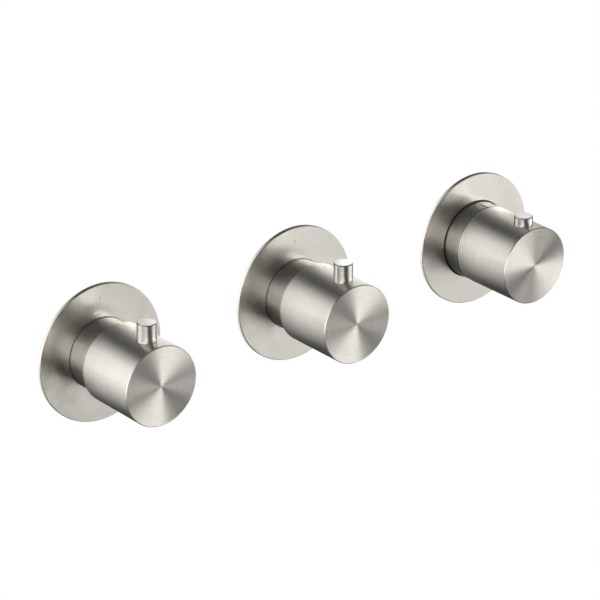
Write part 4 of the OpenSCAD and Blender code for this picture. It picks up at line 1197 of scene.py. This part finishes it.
@dataclass(frozen=True)
class Softbox:
    """A square or long lamp aimed at the valve.

    Attributes:
        name: Its name.
        place: Its middle.
        size: Its width and height.
        glow: The brightness of its face.
        aim: The point that it faces.
    """

    name: str
    place: Point
    size: Flat
    glow: float
    aim: Point = (0.0, -0.03, 0.0)

    def light(self) -> None:
        """Hangs the lamp."""
        lamp = bpy.data.lights.new(self.name, "AREA")
        lamp.shape = "RECTANGLE"
        lamp.size, lamp.size_y = self.size
        lamp.energy = self.glow * math.pi * self.size[0] * self.size[1]
        hung = stand(self.name, lamp)
        hung.location = self.place
        sight = Vector(self.aim) - Vector(self.place)
        hung.rotation_euler = sight.to_track_quat("-Z", "Y").to_euler()
        LOG.info("%s glows at %.2f", self.name, self.glow)


@dataclass
class Studio:
    """The camera, the lamps, the white wall and the floor.

    Attributes:
        lens: The camera's focal length in millimetres.
        sensor: The camera's sensor in millimetres.
        eye: The camera's place.
        elevation: The camera's height angle in degrees.
        azimuth: Its angle round the valve in degrees.
        lamps: The lamps.
        room: The greys of the dim room in reflections, each with its share of the way up.
        wall_half: Half the wall's width.
        wall_gap: The wall's distance behind the roses' backs.
        wall_grey: The wall's colour where it lights the valve softly.
        hole_radius: The radius of the wall's holes.
        hole_steps: The number of points on each hole.
        wall_strength: The brightness in reflections where the wall is white.
        wall_shift: How far each trim's share of the wall reaches to its left, in trim spacings.
        floor_height: The floor's height.
        floor_half: Half the floor's width.
        floor_greys: The floor's darkest and lightest colour.
        floor_rough: The floor's lowest and highest roughness.
        floor_grain: The size of the floor's grain.
        floor_white: The share of plain white in what the camera sees of the floor.
        floor_in_metal: The floor's brightness in reflections.
        wall_in_metal: The wall's brightness in reflections at some angles round the nearest trim,
            in degrees anticlockwise from the top: white to the left and right, dim above and below.
    """

    lens: float = 205.67
    sensor: float = 36.0
    eye: Point = (-0.9591, -1.2336, 0.6664)
    elevation: float = 23.23
    azimuth: float = -38.0
    lamps: tuple[Softbox, ...] = (
        Softbox("left_bank", (-1.05, -1.02, 0.05), (0.7, 1.3), 1.6),
        Softbox("left_side", (-1.5, -0.45, 0.15), (0.7, 1.3), 2.2),
        Softbox("right_high", (3.33, -3.67, 0.47), (1.6, 2.2), 3.9),
        Softbox("right_top", (2.71, -3.84, 0.99), (1.2, 1.2), 4.8),
        Softbox("right_side", (2.08, -1.12, -0.19), (0.95, 1.3), 4.3),
        Softbox("right_low", (0.72, -1.05, -0.55), (0.6, 0.6), 0.93),
        Softbox("rear_left", (-1.0, 1.2, 0.7), (0.9, 0.9), 2.0),
        Softbox("rear_right", (1.2, 1.0, 0.2), (0.7, 0.9), 1.2),
    )
    room: tuple[Flat, ...] = ((0.3, 0.04), (0.75, 0.08))
    wall_half: float = 1.5
    wall_gap: float = 0.3 * MM
    wall_grey: float = 0.8
    hole_radius: float = 30 * MM
    hole_steps: int = 64
    wall_strength: float = 1.4
    wall_shift: float = 0.25
    floor_height: float = -1.1
    floor_half: float = 10.0
    floor_greys: Flat = (0.86, 0.90)
    floor_rough: Flat = (0.75, 0.9)
    floor_grain: float = 6 * MM
    floor_white: float = 0.7
    floor_in_metal: float = 0.06
    wall_in_metal: tuple[Flat, ...] = (
        (-180, 0.05), (-115, 0.06), (-85, 0.12), (-60, 0.45), (-35, 0.62), (-8, 0.12), (12, 0.05),
        (22, 0.12), (52, 0.95), (85, 1.0), (150, 0.12), (165, 0.05), (180, 0.05),
    )

    def set_camera(self) -> None:
        """Makes the camera."""
        camera = stand("camera", bpy.data.cameras.new("camera"))
        camera.data.sensor_width = self.sensor
        camera.data.lens = self.lens
        camera.location = self.eye
        camera.rotation_euler = (math.radians(90 - self.elevation), 0.0, math.radians(self.azimuth))
        bpy.context.scene.camera = camera
        bpy.context.scene.view_settings.view_transform = "Standard"

    def light_world(self) -> None:
        """Makes the surroundings: white to the camera, and a dim room to the metal."""
        world = bpy.data.worlds.new("room")
        bpy.context.scene.world = world
        sheet = NodeSheet(world)
        direction = sheet.node("ShaderNodeTexCoord").outputs["Generated"]
        height = sheet.stretch(sheet.split(direction)[2], (-1.0, 1.0))
        greys = sheet.ramp(height, [(share, shades(WHITE, grey)[0]) for share, grey in self.room])
        dim = sheet.feed("ShaderNodeBackground", [greys])[0]
        white = sheet.feed("ShaderNodeBackground", [(*WHITE, 1.0)])[0]
        seen = sheet.node("ShaderNodeLightPath").outputs["Is Camera Ray"]
        sheet.show(sheet.mix(seen, dim, white))

    def wall_paint(self) -> Material:
        """Makes the wall's paint: white from the room, clear from behind."""
        material = bpy.data.materials.new("wall_paint")
        sheet = NodeSheet(material)
        path = sheet.node("ShaderNodeLightPath").outputs
        grey = (*shades(WHITE, self.wall_grey)[0], 1.0)
        plain = sheet.feed("ShaderNodeBsdfDiffuse", [grey])[0]
        in_metal = sheet.calc("MAXIMUM", path["Is Glossy Ray"], path["Is Transmission Ray"])
        seen = path["Is Camera Ray"]
        strength = sheet.calc("MULTIPLY_ADD", in_metal, self.wall_glow(sheet), seen)
        glow = sheet.feed("ShaderNodeEmission", {"Strength": strength})[0]
        glowing = sheet.calc("MAXIMUM", seen, in_metal)
        front = sheet.mix(glowing, plain, glow)
        behind = sheet.node("ShaderNodeNewGeometry").outputs["Backfacing"]
        clear = sheet.node("ShaderNodeBsdfTransparent").outputs[0]
        sheet.show(sheet.mix(behind, front, clear))
        return material

    def wall_glow(self, sheet: NodeSheet) -> Socket:
        """Makes the wall's brightness in reflections from its angle round the nearest trim.

        Args:
            sheet: The wall's nodes.

        Returns:
            The brightness.
        """
        pitch = Trim("temperature").axis_x
        x, _, z = sheet.split(sheet.object_point())
        place = sheet.calc("MULTIPLY_ADD", x, 1 / pitch, self.wall_shift)
        middle = sheet.times(sheet.calc("ROUND", place), pitch)
        nearest = sheet.calc("MINIMUM", sheet.calc("MAXIMUM", middle, -pitch), pitch)
        angle = sheet.calc("ARCTAN2", sheet.calc("SUBTRACT", nearest, x), z)
        stops = [
            ((degrees + 180) / 360, shades(WHITE, glow)[0]) for degrees, glow in self.wall_in_metal
        ]
        pattern = sheet.ramp(sheet.stretch(angle, (-math.pi, math.pi)), stops)
        return sheet.times(pattern, self.wall_strength)

    def floor_paint(self) -> Material:
        """Makes the floor's paint: pale and matt to the camera, and dim in the metal."""
        material = bpy.data.materials.new("floor_paint")
        sheet = NodeSheet(material)
        grain = sheet.noise(sheet.object_point(), 1 / self.floor_grain)
        values = {
            "Base Color": sheet.ramp(grain, list(enumerate(shades(WHITE, *self.floor_greys)))),
            "Roughness": sheet.stretch(grain, NOISE_SPAN, self.floor_rough),
        }
        matt = sheet.feed("ShaderNodeBsdfPrincipled", values)[0]
        path = sheet.node("ShaderNodeLightPath").outputs
        white = sheet.node("ShaderNodeEmission").outputs[0]
        pale = sheet.mix(sheet.times(path["Is Camera Ray"], self.floor_white), matt, white)
        dim = sheet.feed("ShaderNodeEmission", {"Strength": self.floor_in_metal})[0]
        sheet.show(sheet.mix(path["Is Glossy Ray"], pale, dim))
        return material

    def build_wall(self) -> None:
        """Builds the wall with a hole behind each rose."""
        flat, edges = bmesh.new(), []
        loops = [self._square(self.wall_half)]
        for label in ("left", "middle", "temperature"):
            loops.append(arc((Trim(label).axis_x, 0.0), self.hole_radius, 0, 360, self.hole_steps))
        for loop in loops:
            corners = [flat.verts.new((x, self.wall_gap, z)) for x, z in loop]
            edges += [flat.edges.new(pair) for pair in zip(corners[-1:] + corners, corners)]
        bmesh.ops.triangle_fill(flat, use_beauty=True, edges=edges, normal=(0, -1, 0))
        for face in flat.faces:
            if face.normal.y > 0:
                face.normal_flip()
        mesh = bpy.data.meshes.new("wall")
        flat.to_mesh(mesh)
        flat.free()
        self._stage("wall", mesh, self.wall_paint())

    def build_floor(self) -> None:
        """Builds the floor."""
        corners = [(x, y, self.floor_height) for x, y in self._square(self.floor_half)]
        mesh = bpy.data.meshes.new("floor")
        mesh.from_pydata(corners, [], [range(len(corners))])
        self._stage("floor", mesh, self.floor_paint())

    @staticmethod
    def _square(half: float) -> tuple[Flat, ...]:
        """Returns the corners of a square about the origin, anticlockwise."""
        return (-half, -half), (half, -half), (half, half), (-half, half)

    @staticmethod
    def _stage(name: str, mesh: Mesh, material: Material) -> None:
        """Adds a piece of the studio.

        Args:
            name: The piece's name.
            mesh: Its mesh.
            material: Its paint.
        """
        mesh.materials.append(material)
        stand(name, mesh)
        LOG.info("%s stands in the studio", name)

    def build(self) -> None:
        """Sets up the whole studio."""
        self.set_camera()
        for lamp in self.lamps:
            lamp.light()
        self.light_world()
        self.build_wall()
        self.build_floor()


def main() -> None:
    """Builds the studio, the trims and the concealed works, in that order."""
    logging.basicConfig(level=logging.INFO, format="%(message)s")
    Studio().build()
    # Painted light: the left trim's face is painted lighter and its pin's top less bright than the
    # others'.
    StopTrim("left", face_swirl=0.232, face_painted_light=1.08, pin_painted_highlight=1.25).build()
    StopTrim("middle").build()
    TemperatureTrim().build()
    ConcealedWorks().build()


if __name__ == "__main__":
    main()
